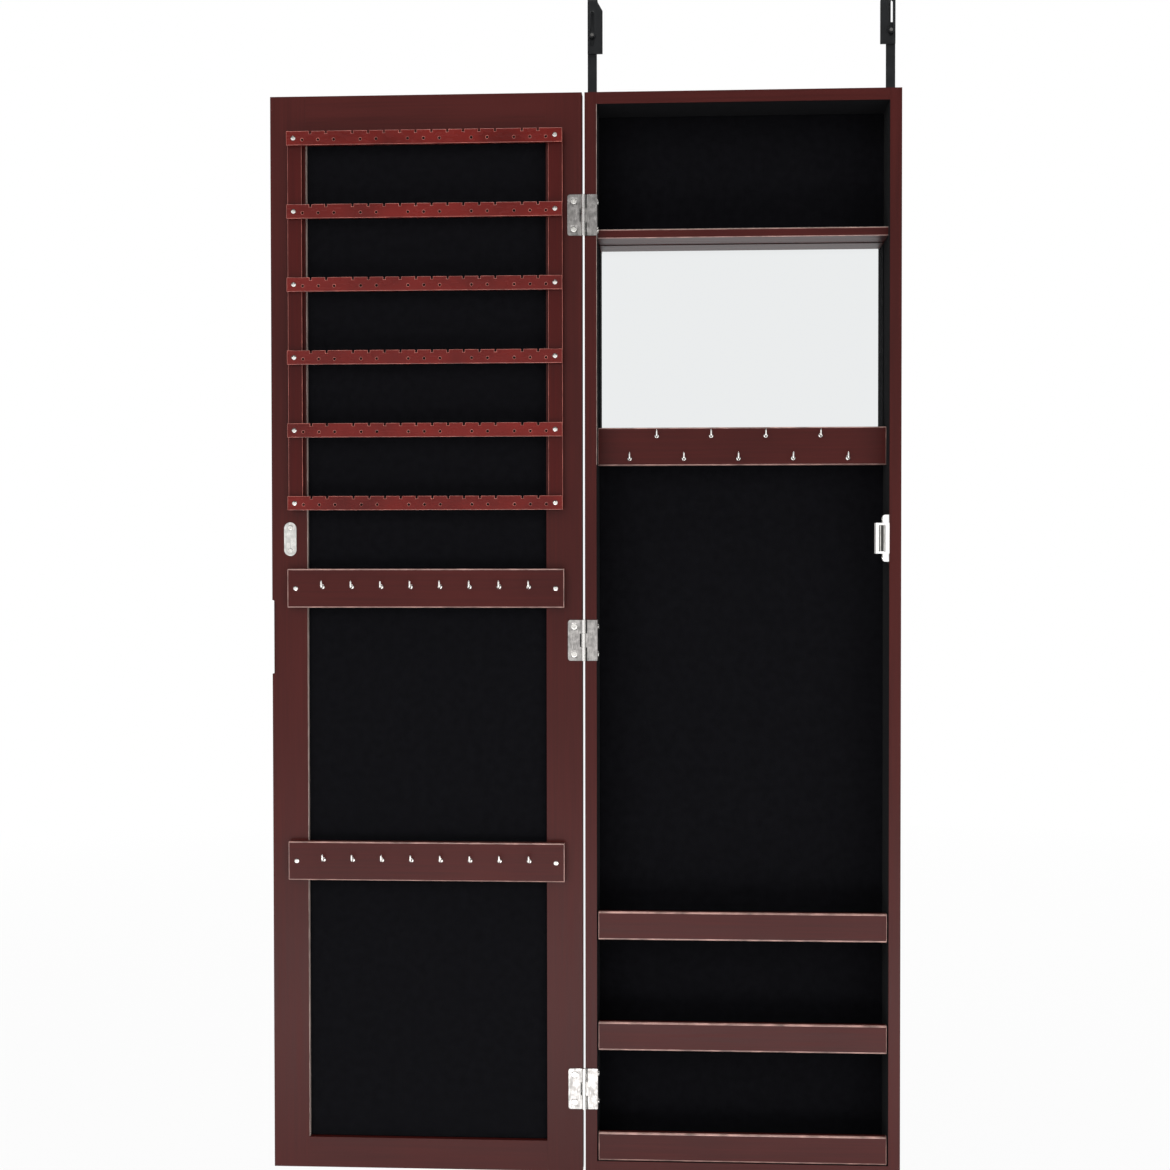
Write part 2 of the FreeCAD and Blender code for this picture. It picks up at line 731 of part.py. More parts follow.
def battens():
    """The two upright battens of the earring rack."""
    foot = f"(top_bar_foot - {BARS - 1} * bar_pitch)"
    size = ("batten_width", "batten_board", f"top_bar_foot + bar_height - {foot}")
    for label, corner in (
        ("rack_batten_free_side", "door_mid - rack_width / 2"),
        ("rack_batten_hinge_side", "door_mid + rack_width / 2 - batten_width"),
    ):
        piece(label, block(label + "_strip", size, (corner, "bar_back", foot)))


def earring_bars():
    """The top bar, notched and drilled, and its copies down the rack."""
    body = new_body("earring_bar_1", ("door_mid", "bar_back", "top_bar_foot"))
    half = "rack_width / 2"
    corners = ((f"-{half}", "0"), (half, "0"), (half, "bar_height"), (f"-{half}", "bar_height"))
    pad(body, outline(body, "bar_front", "XZ_Plane", corners), "bar_board")
    for number, (first, count) in enumerate(NOTCH_ROWS, 1):
        size = {"Length": "notch_width", "Width": "notch_depth + 1", "Height": "bar_board + 2"}
        place = (f"{first} - notch_width / 2", "bar_height - notch_depth", "-1")
        notch = primitive(body, "SubtractiveBox", f"notch_{number}", "XZ_Plane", size, place)
        repeat(body, f"notch_row_{number}", notch, "X_Axis", "notch_pitch", count)
    for number, (first, count) in enumerate(HOLE_ROWS, 1):
        place = (first, "hole_rise", "-1")
        hole = drilled(body, f"hole_{number}", "XZ_Plane", "hole_radius", "bar_board + 2", place)
        repeat(body, f"hole_row_{number}", hole, "X_Axis", "notch_pitch", count)
    for row in range(1, BARS):
        place = ("door_mid", "bar_back", f"top_bar_foot - {row} * bar_pitch")
        same_again(f"earring_bar_{row + 1}", body, place)


def rack_screws():
    """Two screws through each earring bar and batten into the stiles."""
    places = []
    for row in range(BARS):
        height = value(f"top_bar_foot - {row} * bar_pitch + bar_height / 2")
        places += pair_of_places("bar_face - screw_head", height)
    feature("rack_screws", [screw(place, Y, "bar_board + batten_board") for place in places])


def pair_of_places(face, height):
    """Left and right screw places at one height on the door's inner face."""
    half = value("half_width - rack_screw_inset")
    middle = value("door_mid")
    return [V(middle + side * half, value(face), height) for _, side in SIDES]


def door_hook_rails():
    """Both hook rails across the door, their hooks and their screws."""
    master = None
    screws = []
    for word, drop in (("upper", "upper_rail_drop"), ("lower", "lower_rail_drop")):
        middle = f"half_height - {drop}"
        label = f"door_hook_rail_{word}"
        place = ("door_mid", "front", f"{middle} - door_rail_height / 2")
        if master:
            same_again(label, master, place)
        else:
            length = "cabinet_width - 2 * door_rail_inset"
            master = moulding(label, length, "door_rail_board", "door_rail_height", place)
        height = f"{middle} + door_hook_rise"
        row = hook_row(DOOR_HOOKS, "door_hook_pitch", "door_mid", "door_rail_face", height)
        feature(f"door_hooks_{word}", [cup_hook(spot) for spot in row])
        screws += pair_of_places("door_rail_face - screw_head", value(middle))
    feature("hook_rail_screws", [screw(place, Y, "door_rail_board") for place in screws])


# ---------------------------------------------------------------- strike plate and catch


def strike_plate():
    """The steel plate on the door that meets the catch when the door is shut."""
    body = new_body("strike_plate", ("door_mid - pocket_mid", "front", "catch_mid"))
    half = "(strike_height / 2 - strike_width / 2)"
    pad(body, slot_outline(body, "strike", "XZ_Plane", ("0", "0"), half, "strike_width / 2"), "strike_board")
    low = "-strike_screw_span / 2"
    hole = screw_hole(body, "screw_hole", "XZ_Plane", "strike_board + 2", ("0", low, "-1"))
    repeat(body, "screw_holes", hole, "Z_Axis", "strike_screw_span", 2)
    sink = "screw_head_radius + screw_hole_gap"
    place = ("0", low, "strike_board - sunk_head")
    seat = drilled(body, "screw_seat", "XZ_Plane", sink, "1 + sunk_head", place)
    repeat(body, "screw_seats", seat, "Z_Axis", "strike_screw_span", 2)
    middle = V(value("door_mid - pocket_mid"), value("front - strike_board"), value("catch_mid"))
    span = V(0, 0, value("strike_screw_span / 2"))
    feature("strike_screws", [screw(middle + span * side, Y, crown="sunk_head") for _, side in SIDES])


def magnetic_catch():
    """White housing on the right wall, with a magnet between two steel pole plates."""
    body = new_body("catch_housing", ("inner_half", "catch_base_face", "catch_mid"))
    half = "catch_base_height / 2"
    base = (("-catch_base_board", f"-{half}"), ("0", f"-{half}"), ("0", half), ("-catch_base_board", half))
    pad(body, outline(body, "catch_base", "XZ_Plane", base, "-catch_base_depth"), "catch_base_depth")
    wall = -value("catch_base_board")
    round_edges(
        body,
        "base_rounds",
        "catch_base_round",
        lambda middle, way: abs(way.y) > 0.9 and abs(middle.x - wall) < 0.01,
    )
    size = {"Length": "catch_reach", "Width": "catch_height", "Height": "catch_depth"}
    proud = "catch_base_face - catch_face"
    place = ("-catch_reach", "-catch_height / 2", f"{proud} - catch_depth")
    primitive(body, "AdditiveBox", "catch_body", "XZ_Plane", size, place)
    size = {"Length": "pocket_width", "Width": "pocket_height", "Height": "pocket_depth + 1"}
    place = ("-pocket_inset - pocket_width / 2", "-pocket_height / 2", f"{proud} - pocket_depth")
    primitive(body, "SubtractiveBox", "catch_pocket", "XZ_Plane", size, place)
    place = ("catch_base_depth / 2", "-catch_screw_span / 2", "-catch_base_board - 1")
    hole = screw_hole(body, "catch_hole", "YZ_Plane", "catch_base_board + 2", place)
    repeat(body, "catch_holes", hole, "Z_Axis", "catch_screw_span", 2)
    catch_insides()


def catch_insides():
    """Magnet, pole plates and screws of the catch."""
    height = "pocket_height - 2 * fit_gap"
    foot = "catch_mid - pocket_height / 2 + fit_gap"
    size = ("magnet_board", "pocket_depth - fit_gap", height)
    magnet = block("magnet", size, ("pocket_mid - magnet_board / 2", "catch_face + fit_gap", foot))
    piece("catch_magnet", magnet)
    plates = []
    for word, side in SIDES:
        near = mirrored(side, "magnet_board / 2", "magnet_board / 2 + pole_board")[0]
        size = ("pole_board", "pocket_depth + pole_proud", height)
        plates.append(block(f"pole_{word}", size, (f"pocket_mid + {near}", "catch_face - pole_proud", foot)))
    union = doc.addObject("Part::Compound", "pole_plates")
    union.Links = plates
    piece("catch_pole_plates", union)
    across = value("inner_half - catch_base_board - screw_head")
    middle = V(across, value("catch_base_face + catch_base_depth / 2"), value("catch_mid"))
    span = V(0, 0, value("catch_screw_span / 2"))
    feature("catch_screws", [screw(middle + span * side, X, "catch_base_board") for _, side in SIDES])


# ---------------------------------------------------------------- hinges


def hinge_place(drop):
    return ("axis_x", "axis_y", f"half_height - {drop}")


def knuckle(body, name, half):
    """A leaf's knuckle or knuckles, as one upright round about the hinge's axis."""
    size = {"Circumradius": "knuckle_radius", "Height": f"2 * {half}"}
    primitive(body, "AdditivePrism", name, "XY_Plane", size, ("0", "0", f"-{half}")).Polygon = KNUCKLE_SIDES


def clear_knuckle(body, name, low, high):
    """Cuts a leaf back from its neighbour's knuckle between two heights."""
    reach = "(knuckle_radius + knuckle_gap)"
    size = {"Length": f"2 * {reach}", "Width": f"2 * {reach}", "Height": f"({high}) - ({low})"}
    primitive(body, "SubtractiveBox", name, "XY_Plane", size, (f"-{reach}", f"-{reach}", low))


def cabinet_leaf(label, drop):
    """Leaf over the side board's front edge and in along its wall; its knuckles grip the pin."""
    body = new_body(label, hinge_place(drop))
    inner = "hinge_gap / 2 + side_board"
    section = outline(
        body,
        "cabinet_leaf_section",
        "XY_Plane",
        (
            ("0", "leaf_face"),
            (f"{inner} + leaf_board", "leaf_face"),
            (f"{inner} + leaf_board", "leaf_face + flange_depth"),
            (inner, "leaf_face + flange_depth"),
            (inner, "hinge_gap / 2"),
            ("0", "hinge_gap / 2"),
        ),
    )
    pad(body, section, "hinge_height", centred=True)
    bend = value(f"{inner} + leaf_board")
    face = value("leaf_face")
    round_edges(
        body,
        "leaf_bend",
        "leaf_board",
        lambda middle, way: abs(way.z) > 0.9 and abs(middle.x - bend) < 0.01 and abs(middle.y - face) < 0.01,
    )
    knuckle(body, "cabinet_knuckles", "(hinge_height / 2)")
    half = "(hinge_height / 6 + knuckle_gap / 2)"
    clear_knuckle(body, "door_knuckle_room", f"-{half}", half)
    foot = ("0", "0", "-hinge_height / 2 - 1")
    drilled(body, "tight_bore", "XY_Plane", "pin_radius", "hinge_height + 2", foot, KNUCKLE_SIDES)
    place = ("leaf_face + flange_screw_reach", "-hinge_screw_span / 2", f"{inner} - 1")
    hole = screw_hole(body, "flange_hole", "YZ_Plane", "leaf_board + 2", place)
    repeat(body, "flange_holes", hole, "Z_Axis", "hinge_screw_span", 2)
    return body


def door_leaf(label, drop):
    """Flat leaf on the door's inner face, whose knuckle turns on the pin."""
    body = new_body(label, hinge_place(drop))
    far = "-hinge_gap / 2 - leaf_width"
    section = outline(
        body,
        "door_leaf_section",
        "XY_Plane",
        ((far, "leaf_face"), ("0", "leaf_face"), ("0", "hinge_gap / 2"), (far, "hinge_gap / 2")),
    )
    pad(body, section, "hinge_height", centred=True)
    outer = value(far)
    round_edges(
        body,
        "leaf_corners",
        "leaf_corner",
        lambda middle, way: abs(way.y) > 0.9 and abs(middle.x - outer) < 0.01,
    )
    half = "(hinge_height / 6 - knuckle_gap / 2)"
    knuckle(body, "door_knuckle", half)
    clear_knuckle(body, "upper_knuckle_room", half, "hinge_height / 2 + 1")
    clear_knuckle(body, "lower_knuckle_room", "-hinge_height / 2 - 1", f"-{half}")
    size = {"Radius": "pin_radius + pin_clearance", "Height": "hinge_height"}
    primitive(body, "SubtractiveCylinder", "running_bore", "XY_Plane", size, ("0", "0", "-hinge_height / 2"))
    across, low = "-hinge_gap / 2 - leaf_screw_reach", "-hinge_screw_span / 2"
    back = "-hinge_gap / 2"
    hole = screw_hole(body, "leaf_hole", "XZ_Plane", "leaf_board + 2", (across, low, f"{back} - 1"))
    repeat(body, "leaf_holes", hole, "Z_Axis", "hinge_screw_span", 2)
    sink = "hinge_screw_head + screw_hole_gap"
    place = (across, low, f"{back} + leaf_board - sunk_head")
    seat = drilled(body, "leaf_seat", "XZ_Plane", sink, "1 + sunk_head", place)
    repeat(body, "leaf_seats", seat, "Z_Axis", "hinge_screw_span", 2)
    return body


def hinges():
    """Three hinges, with their pins and screws."""
    masters = None
    for word, drop in HINGES:
        labels = (f"hinge_leaf_cabinet_{word}", f"hinge_leaf_door_{word}")
        if masters:
            for label, master in zip(labels, masters):
                same_again(label, master, hinge_place(drop))
        else:
            masters = (cabinet_leaf(labels[0], drop), door_leaf(labels[1], drop))
    feature("hinge_pins", [hinge_pin(drop) for _, drop in HINGES])
    box_x = value("leaf_board + screw_head - inner_half")
    box_y = value("axis_y + leaf_face + flange_screw_reach")
    door_x = value("axis_x - hinge_gap / 2 - leaf_screw_reach")
    door_y = value("front - leaf_board")
    on_box, on_door = [], []
    for _, drop in HINGES:
        for _, side in SIDES:
            height = value(f"half_height - {drop} + {side} * hinge_screw_span / 2")
            on_box.append(screw(V(box_x, box_y, height), -X, radius="hinge_screw_head"))
            on_door.append(screw(V(door_x, door_y, height), Y, crown="sunk_head", radius="hinge_screw_head"))
    feature("hinge_screws_cabinet", on_box)
    feature("hinge_screws_door", on_door)


def hinge_pin(drop):
    """A plain pin through a hinge's knuckles, proud of them at each end."""
    height = value("hinge_height + 2 * pin_proud")
    middle = V(*(value(text) for text in hinge_place(drop)))
    return Part.makeCylinder(value("pin_radius"), height, middle - Z * (height / 2))


# ---------------------------------------------------------------- hanging straps and hooks


def hanger_strap(word, side):
    """A flat steel strap up the back of a side board, with a stud hole near its upper end."""
    label = f"hanger_strap_{word}"
    corner, length = mirrored(side, "half_width - strap_width", "half_width")
    size = (length, "strap_board", "strap_below + strap_above")
    strap = block(label + "_bar", size, (corner, "strap_face", "half_height - strap_below"))
    middle = f"{side} * strap_mid"
    place = (middle, "strap_face - 1", "stud_height")
    tools = [drill(label + "_stud_hole", "stud_radius", "strap_board + 2", place)]
    for k, drop in enumerate(STRAP_SCREWS, 1):
        height = f"half_height - ({drop})"
        place = (middle, "strap_face - 1", height)
        radius = flats("screw_radius + screw_hole_gap")
        tools.append(drill(f"{label}_hole_{k}", radius, "strap_board + 2", place))
        place = (middle, "strap_back - sunk_head", height)
        radius = flats("screw_head_radius + screw_hole_gap")
        tools.append(drill(f"{label}_seat_{k}", radius, "sunk_head + 1", place))
    carve(label, strap, tools)


def strap_hardware():
    """Strap screws from behind, and the studs and nuts that clamp the over-door hooks."""
    screws, studs, nuts = [], [], []
    reach = value("strap_back - leg_face + stud_gap + nut_board + 1")
    for _, side in SIDES:
        middle = side * value("strap_mid")
        for drop in STRAP_SCREWS:
            place = V(middle, value("strap_back"), value(f"half_height - ({drop})"))
            screws.append(screw(place, -Y, "strap_board", crown="sunk_head"))
        back = V(middle, value("strap_back"), value("stud_height"))
        studs.append(aimed(prism(value("stud_radius"), reach, HEAD_SIDES), back, -Y))
        seat = V(middle, value("leg_face - stud_gap"), value("stud_height"))
        nut = prism(value(flats("nut_width / 2", NUT_SIDES)), value("nut_board"), NUT_SIDES)
        nuts.append(aimed(nut.cut(prism(value("stud_radius"), value("nut_board"), HEAD_SIDES)), seat, -Y))
    feature("strap_screws", screws)
    feature("hanger_studs", studs)
    feature("hanger_nuts", nuts)


def over_door_hook(word, side, setting):
    """A bent steel hook that goes over a house door, with a slotted, widened front leg."""
    body = new_body(f"over_door_hook_{word}", ("0", "0", f"stud_height - {setting} - slot_foot"))
    outer = "leg_height"
    section = outline(
        body,
        f"hook_section_{word}",
        "YZ_Plane",
        (
            ("leg_face", "0"),
            ("leg_face", outer),
            ("door_room + hook_board", outer),
            ("door_room + hook_board", f"{outer} - rear_leg"),
            ("door_room", f"{outer} - rear_leg"),
            ("door_room", f"{outer} - hook_board"),
            ("leg_back", f"{outer} - hook_board"),
            ("leg_back", "0"),
        ),
        f"{side} * (half_width - hook_width / 2)",
    )
    pad(body, section, "hook_width", centred=True)
    top = value("leg_height")
    under = value("leg_height - hook_board")
    for name, height, radius in (("outer", top, "bend_radius + hook_board"), ("inner", under, "bend_radius")):
        round_edges(
            body,
            f"{name}_bends_{word}",
            radius,
            lambda middle, way, height=height: abs(way.x) > 0.9 and abs(middle.z - height) < 0.01,
        )
    widen_leg(body, word, side)
    middle = (f"{side} * strap_mid", "slot_foot + slot_span / 2")
    radius = "stud_radius + stud_gap"
    slot = slot_outline(body, f"hook_slot_{word}", "XZ_Plane", middle, "slot_span / 2", radius)
    cut = pocket(body, slot, "cabinet_depth")
    cut.Reversed = True


def widen_leg(body, word, side):
    """The front leg's wider lower part, which slopes in to the bridge at its inner corner."""
    corner = f"{side} * (half_width - hook_width / 2)"
    inner = f"{side} * (half_width - leg_width)"
    neck = f"{side} * (half_width - hook_width)"
    crest = "(leg_height - hook_board - bend_radius)"
    shape = (
        (corner, "0"),
        (inner, "0"),
        (inner, f"{crest} - leg_slope"),
        (neck, crest),
        (corner, crest),
    )
    plate = outline(body, f"hook_leg_{word}", "XZ_Plane", shape, "-leg_back")
    pad(body, plate, "hook_board")


# ---------------------------------------------------------------- build, check and write


def build():
    fill_sheet()
    for word, side in SIDES:
        side_board(word, side)
        hanger_strap(word, side)
    box_boards()
    linings()
    inner_hook_rail()
    tray_lips()
    magnetic_catch()
    free_stile()
    door_stile("door_hinge_stile", "+")
    door_rail("door_top_rail", "recess_top", "top_rail", "recess_top - sight_lip")
    door_rail("door_bottom_rail", "-half_height", "bottom_rail", "-half_height")
    door_panels()
    battens()
    earring_bars()
    rack_screws()
    door_hook_rails()
    strike_plate()
    hinges()
    strap_hardware()
    over_door_hook("left", -1, "left_setting")
    over_door_hook("right", 1, "right_setting")
    doc.recompute()


def check():
    """Stops if anything failed to build."""
    for thing in doc.Objects:
        if "Invalid" in thing.State or "Error" in thing.State:
            raise RuntimeError(f"{thing.Label} did not build: {thing.State}")
    for thing in pieces:
        if thing.Shape.isNull() or not thing.Shape.isValid() or thing.Shape.Volume <= 0:
            raise RuntimeError(f"{thing.Label} has no sound shape")


def write():
    os.makedirs(OUT, exist_ok=True)
    for thing in pieces:
        thing.Shape.exportStep(os.path.join(OUT, thing.Label + ".step"))


build()
check()
write()
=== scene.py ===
import math

import bmesh
import bpy
import numpy as np
from bpy.props import FloatProperty, FloatVectorProperty, IntProperty, PointerProperty
from mathutils import Matrix, Vector


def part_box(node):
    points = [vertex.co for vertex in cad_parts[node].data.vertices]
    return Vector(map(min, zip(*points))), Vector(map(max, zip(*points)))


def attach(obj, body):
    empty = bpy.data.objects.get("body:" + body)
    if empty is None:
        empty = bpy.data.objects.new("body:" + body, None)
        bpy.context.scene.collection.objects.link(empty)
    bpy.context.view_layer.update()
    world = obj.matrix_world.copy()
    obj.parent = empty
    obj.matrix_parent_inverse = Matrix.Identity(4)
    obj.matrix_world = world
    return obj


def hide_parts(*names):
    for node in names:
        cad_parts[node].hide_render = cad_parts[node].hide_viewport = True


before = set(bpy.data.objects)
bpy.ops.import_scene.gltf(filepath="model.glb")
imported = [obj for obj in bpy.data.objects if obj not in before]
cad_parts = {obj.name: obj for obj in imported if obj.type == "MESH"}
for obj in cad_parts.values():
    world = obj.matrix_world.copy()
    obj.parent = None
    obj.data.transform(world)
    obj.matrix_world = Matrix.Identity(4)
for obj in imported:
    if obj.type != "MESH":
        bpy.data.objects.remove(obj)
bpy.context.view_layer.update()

bl_info = {
    "name": "Jewelry mirror cabinet",
    "version": (1, 0, 0),
    "blender": (4, 5, 0),
    "location": "3D View > Sidebar > Cabinet",
    "description": "Finishes, hardware and studio of a hanging jewelry cabinet with a mirrored door",
    "category": "Object",
}

# Shapes are worked out in millimetres, in the cabinet's own frame: x across, y to the rear, z up.
MM = 0.001
BOX = {name: (np.array(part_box(name)[0]) / MM, np.array(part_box(name)[1]) / MM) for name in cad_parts}
LEFT, RIGHT = np.array([-1.0, 0, 0]), np.array([1.0, 0, 0])
FRONT, REAR = np.array([0, -1.0, 0]), np.array([0, 1.0, 0])

UPRIGHT_FRAME = ("cabinet_left_side", "cabinet_right_side", "door_free_stile", "door_hinge_stile")
CROSS_FRAME = ("cabinet_top", "cabinet_bottom", "door_top_rail", "door_bottom_rail")
FITTED_WOOD = (
    "upper_shelf",
    "cabinet_hook_rail",
    "tray_lip_upper",
    "tray_lip_middle",
    "tray_lip_lower",
    "door_hook_rail_upper",
    "door_hook_rail_lower",
)
FELTS = ("upper_back_lining", "main_back_lining", "tray_shelf_upper", "tray_shelf_lower", "door_felt_panel")
BOARDS = ("cabinet_back_panel", "inner_mirror_backer", "door_mirror_backer")
MIRRORS = ("inner_mirror_glass", "door_mirror_glass")
BATTENS = ("rack_batten_free_side", "rack_batten_hinge_side")
BARS = tuple(f"earring_bar_{row}" for row in range(1, 7))
STRAPS = ("hanger_strap_left", "hanger_strap_right")
HANGERS = ("over_door_hook_left", "over_door_hook_right")
HINGES = ("top", "middle", "bottom")
HINGE_SCREW_RISE = 15.5  # millimetres from a hinge's middle up or down to each of its screws

SAME_POINT = 1e-6  # metres within which points are merged
CREASE, BEVEL_FROM = math.radians(38), math.radians(35)

# Lighter, glossier shades for the rounded edges of the wood and the lacquer: a painted highlight.
EDGE_HIGHLIGHT_WOOD, EDGE_HIGHLIGHT_LACQUER = (0.36, 0.21, 0.18), (0.42, 0.13, 0.1)
# The second colour on the next line is a near-white nickel for the hinge knuckles: a painted highlight.
GLASS_EDGE, KNUCKLE_HIGHLIGHT = (0.2, 0.33, 0.29), (0.93, 0.91, 0.88)


# ---------------------------------------------------------------- what a user may change


class CabinetSizes(bpy.types.PropertyGroup):
    """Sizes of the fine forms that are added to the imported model."""

    wood_edge: FloatProperty(
        name="Wood edge",
        description="Radius of the sanded edges of the boards and rails",
        default=0.0008,
        unit="LENGTH",
    )
    joint_edge: FloatProperty(
        name="Joint edge",
        description="Radius of the frame's edges, small so that its flush joints hardly show",
        default=0.00012,
        unit="LENGTH",
    )
    metal_edge: FloatProperty(
        name="Metal edge",
        description="Radius of the broken edges of plates and straps",
        default=0.00025,
        unit="LENGTH",
    )
    edge_steps: IntProperty(
        name="Edge steps", description="Facets across a rounded edge", default=3, min=1, max=6
    )
    wire: FloatProperty(
        name="Hook wire", description="Radius of a cup hook's wire", default=0.0011, unit="LENGTH"
    )
    bow: FloatProperty(
        name="Hook bend", description="Radius of a cup hook's bend", default=0.0034, unit="LENGTH"
    )
    hole: FloatProperty(
        name="Earring hole",
        description="Radius of the holes in the earring bars",
        default=0.0015,
        unit="LENGTH",
    )


class CabinetFinishes(bpy.types.PropertyGroup):
    """Colours of the cabinet's finishes."""

    wood: FloatVectorProperty(
        name="Stained wood",
        description="Dark cherry stain of the frame",
        subtype="COLOR",
        default=(0.05, 0.006, 0.0047),
    )
    lacquer: FloatVectorProperty(
        name="Bar lacquer",
        description="Red-brown gloss lacquer of the earring bars and battens",
        subtype="COLOR",
        default=(0.108, 0.006, 0.004),
    )
    felt: FloatVectorProperty(
        name="Felt",
        description="Black felt of the linings",
        subtype="COLOR",
        default=(0.0042, 0.0042, 0.0052),
    )
    # Colour of the thin pale strips at the linings' front edges: painted highlight lines.
    line_highlight: FloatVectorProperty(
        name="Cut edges",
        description="Cut edges of the lining card",
        subtype="COLOR",
        default=(0.36, 0.28, 0.25),
    )
    board: FloatVectorProperty(
        name="Backing board",
        description="Dark board behind the linings and mirrors",
        subtype="COLOR",
        default=(0.0085, 0.0065, 0.005),
    )
    silver: FloatVectorProperty(
        name="Mirror", description="Silvered glass", subtype="COLOR", default=(0.83, 0.845, 0.85)
    )
    nickel: FloatVectorProperty(
        name="Nickel",
        description="Bright nickel of screws and hooks",
        subtype="COLOR",
        default=(0.93, 0.91, 0.87),
    )
    hinge: FloatVectorProperty(
        name="Hinge steel",
        description="Satin nickel of the hinges",
        subtype="COLOR",
        default=(0.45, 0.43, 0.415),
    )
    zinc: FloatVectorProperty(
        name="Zinc plate",
        description="Zinc of the strike plate and pole plates",
        subtype="COLOR",
        default=(0.8, 0.785, 0.75),
    )
    plastic: FloatVectorProperty(
        name="Catch plastic", description="White catch housing", subtype="COLOR", default=(0.92, 0.91, 0.89)
    )
    coat: FloatVectorProperty(
        name="Powder coat",
        description="Black powder coat of the straps and hooks",
        subtype="COLOR",
        default=(0.0105, 0.0112, 0.0122),
    )


# ---------------------------------------------------------------- surfaces


def grid_faces(rows, columns, closed=True, ring=False):
    """Four-cornered faces between neighbouring rows and columns of a grid of points.

    `closed` joins the last column to the first, and `ring` joins the last row to the first.
    """
    row, column = np.meshgrid(
        np.arange(rows if ring else rows - 1),
        np.arange(columns if closed else columns - 1),
        indexing="ij",
    )
    below, beside = (row + 1) % rows, (column + 1) % columns
    corners = (
        row * columns + column,
        row * columns + beside,
        below * columns + beside,
        below * columns + column,
    )
    return np.stack(corners, axis=-1).reshape(-1, 4)


def gathered(parts):
    """Several surfaces as one: their points in a row, and their faces numbered on."""
    starts = np.cumsum([0] + [len(points) for points, _ in parts])
    points = np.concatenate([points for points, _ in parts])
    faces = np.concatenate([faces + start for (_, faces), start in zip(parts, starts)])
    return points, faces


def aimed(surface, place, outward, turn=0.0):
    """Turns a surface made about +z by an angle, points it along `outward` and moves it to its place.

    A point x, y, z becomes place + x u + y v + z w, where w is the way out and u, v are square to it.
    """
    points, faces = surface
    side = RIGHT if abs(outward[0]) < 0.5 else REAR
    up = np.cross(outward, side)
    cos, sin = math.cos(turn), math.sin(turn)
    axes = np.array([cos * side + sin * up, cos * up - sin * side, outward])
    return points @ axes + place, faces


def turned(radius, height, columns=20, ring=False):
    """A form of revolution about z.

    At row r and angle a the point is radius(r) cos a, radius(r) sin a, height(r). The radius may
    also be given for each row and column.
    """
    angle = np.linspace(0, 2 * np.pi, columns, endpoint=False)
    radius = np.asarray(radius, float)
    radius = radius if radius.ndim == 2 else np.repeat(radius[:, None], columns, axis=1)
    height = np.repeat(np.asarray(height, float)[:, None], columns, axis=1)
    points = np.stack([radius * np.cos(angle), radius * np.sin(angle), height], axis=-1)
    return points.reshape(-1, 3), grid_faces(len(radius), columns, ring=ring)


def threaded(crest, depth, pitch, top, foot, point=0.0, columns=12):
    """A threaded shank about z, from the top down to the foot.

    At height z and angle a the radius is crest - depth w, where w is the sharpened triangle wave
    of z / pitch - a / 2 pi. Over the last `point` millimetres the radius falls to nothing.
    """
    height = np.linspace(top, foot, 4 * round((top - foot) / pitch) + 1)
    angle = np.linspace(0, 2 * np.pi, columns, endpoint=False)
    phase = (height[:, None] / pitch - angle / (2 * np.pi)) % 1
    radius = crest - depth * np.abs(2 * phase - 1) ** 0.7
    if point:
        radius = radius * np.clip((height - foot) / point, 0, 1)[:, None] ** 0.6
    still = np.zeros((1, columns))
    radius = np.concatenate([still, radius, still])
    height = np.concatenate([[top], height, [foot]])
    return turned(radius, height, columns)


def screw_head(radius, crown, sunk):
    """A screw's head about z with a cross recess, seated at z = 0.

    The crown's height at r is crown sqrt(1 - 0.7 (r / radius)^2). The columns follow the sides of
    the four arms, whose half angle at r is arcsin(width / r), so that the recess has true edges:
    inside the arms the surface drops to the recess's floor. A sunk head has a cone below it, a
    pan head a short upright side.
    """
    wide, reach, floor = 0.17 * radius, 0.6 * radius, crown - 0.3 * radius
    rho = np.array([0, 1.5 * wide, 0.8 * reach, reach, 0.8 * radius, 0.95 * radius])
    safe = np.maximum(rho, 1.5 * wide)
    top, bottom = np.arcsin(wide / safe), np.arcsin(0.75 * wide / safe)
    fan = np.stack([0 * top, bottom, top, 0 * top + np.pi / 4, np.pi / 2 - top, np.pi / 2 - bottom], axis=1)
    angle = np.concatenate([fan + quarter * np.pi / 2 for quarter in range(4)], axis=1)
    height = np.repeat((crown * np.sqrt(1 - 0.7 * (rho / radius) ** 2))[:, None], angle.shape[1], axis=1)
    in_arm = np.tile([True, True, False, False, False, True], 4)
    height[np.ix_([1, 2], in_arm)] = floor
    height[0] = floor
    if sunk:
        rim = ((radius, 0.0), (radius, -0.1), (1.4, 1.3 - radius), (0, 1.3 - radius))
    else:
        rim = ((radius, 0.35 * crown), (radius, 0.0), (0, 0.0))
    last = np.repeat(angle[-1:], len(rim), axis=0)
    edge = np.array(rim)
    rho = np.concatenate([rho, edge[:, 0]])[:, None]
    angle = np.concatenate([angle, last])
    height = np.concatenate([height, np.repeat(edge[:, 1:], angle.shape[1], axis=1)])
    points = np.stack([rho * np.cos(angle), rho * np.sin(angle), height], axis=-1)
    return points.reshape(-1, 3), grid_faces(*angle.shape)


def wood_screw(radius, crown, length, sunk=False):
    """A wood screw about z, seated at z = 0, with its point below: a head and a threaded shank."""
    shank = threaded(1.4, 0.35, 1.3, 0 if not sunk else -0.5, -length, point=3.5)
    return gathered([screw_head(radius, crown, sunk), shank])


def screws_at(places, outward, radius, crown, length, sunk=False):
    """A screw at each place, its recess turned by chance from a fixed seed."""
    turns = np.random.default_rng(11).uniform(0, np.pi / 2, len(places))
    screw = wood_screw(radius, crown, length, sunk)
    return gathered([aimed(screw, place, outward, turn) for place, turn in zip(places, turns)])


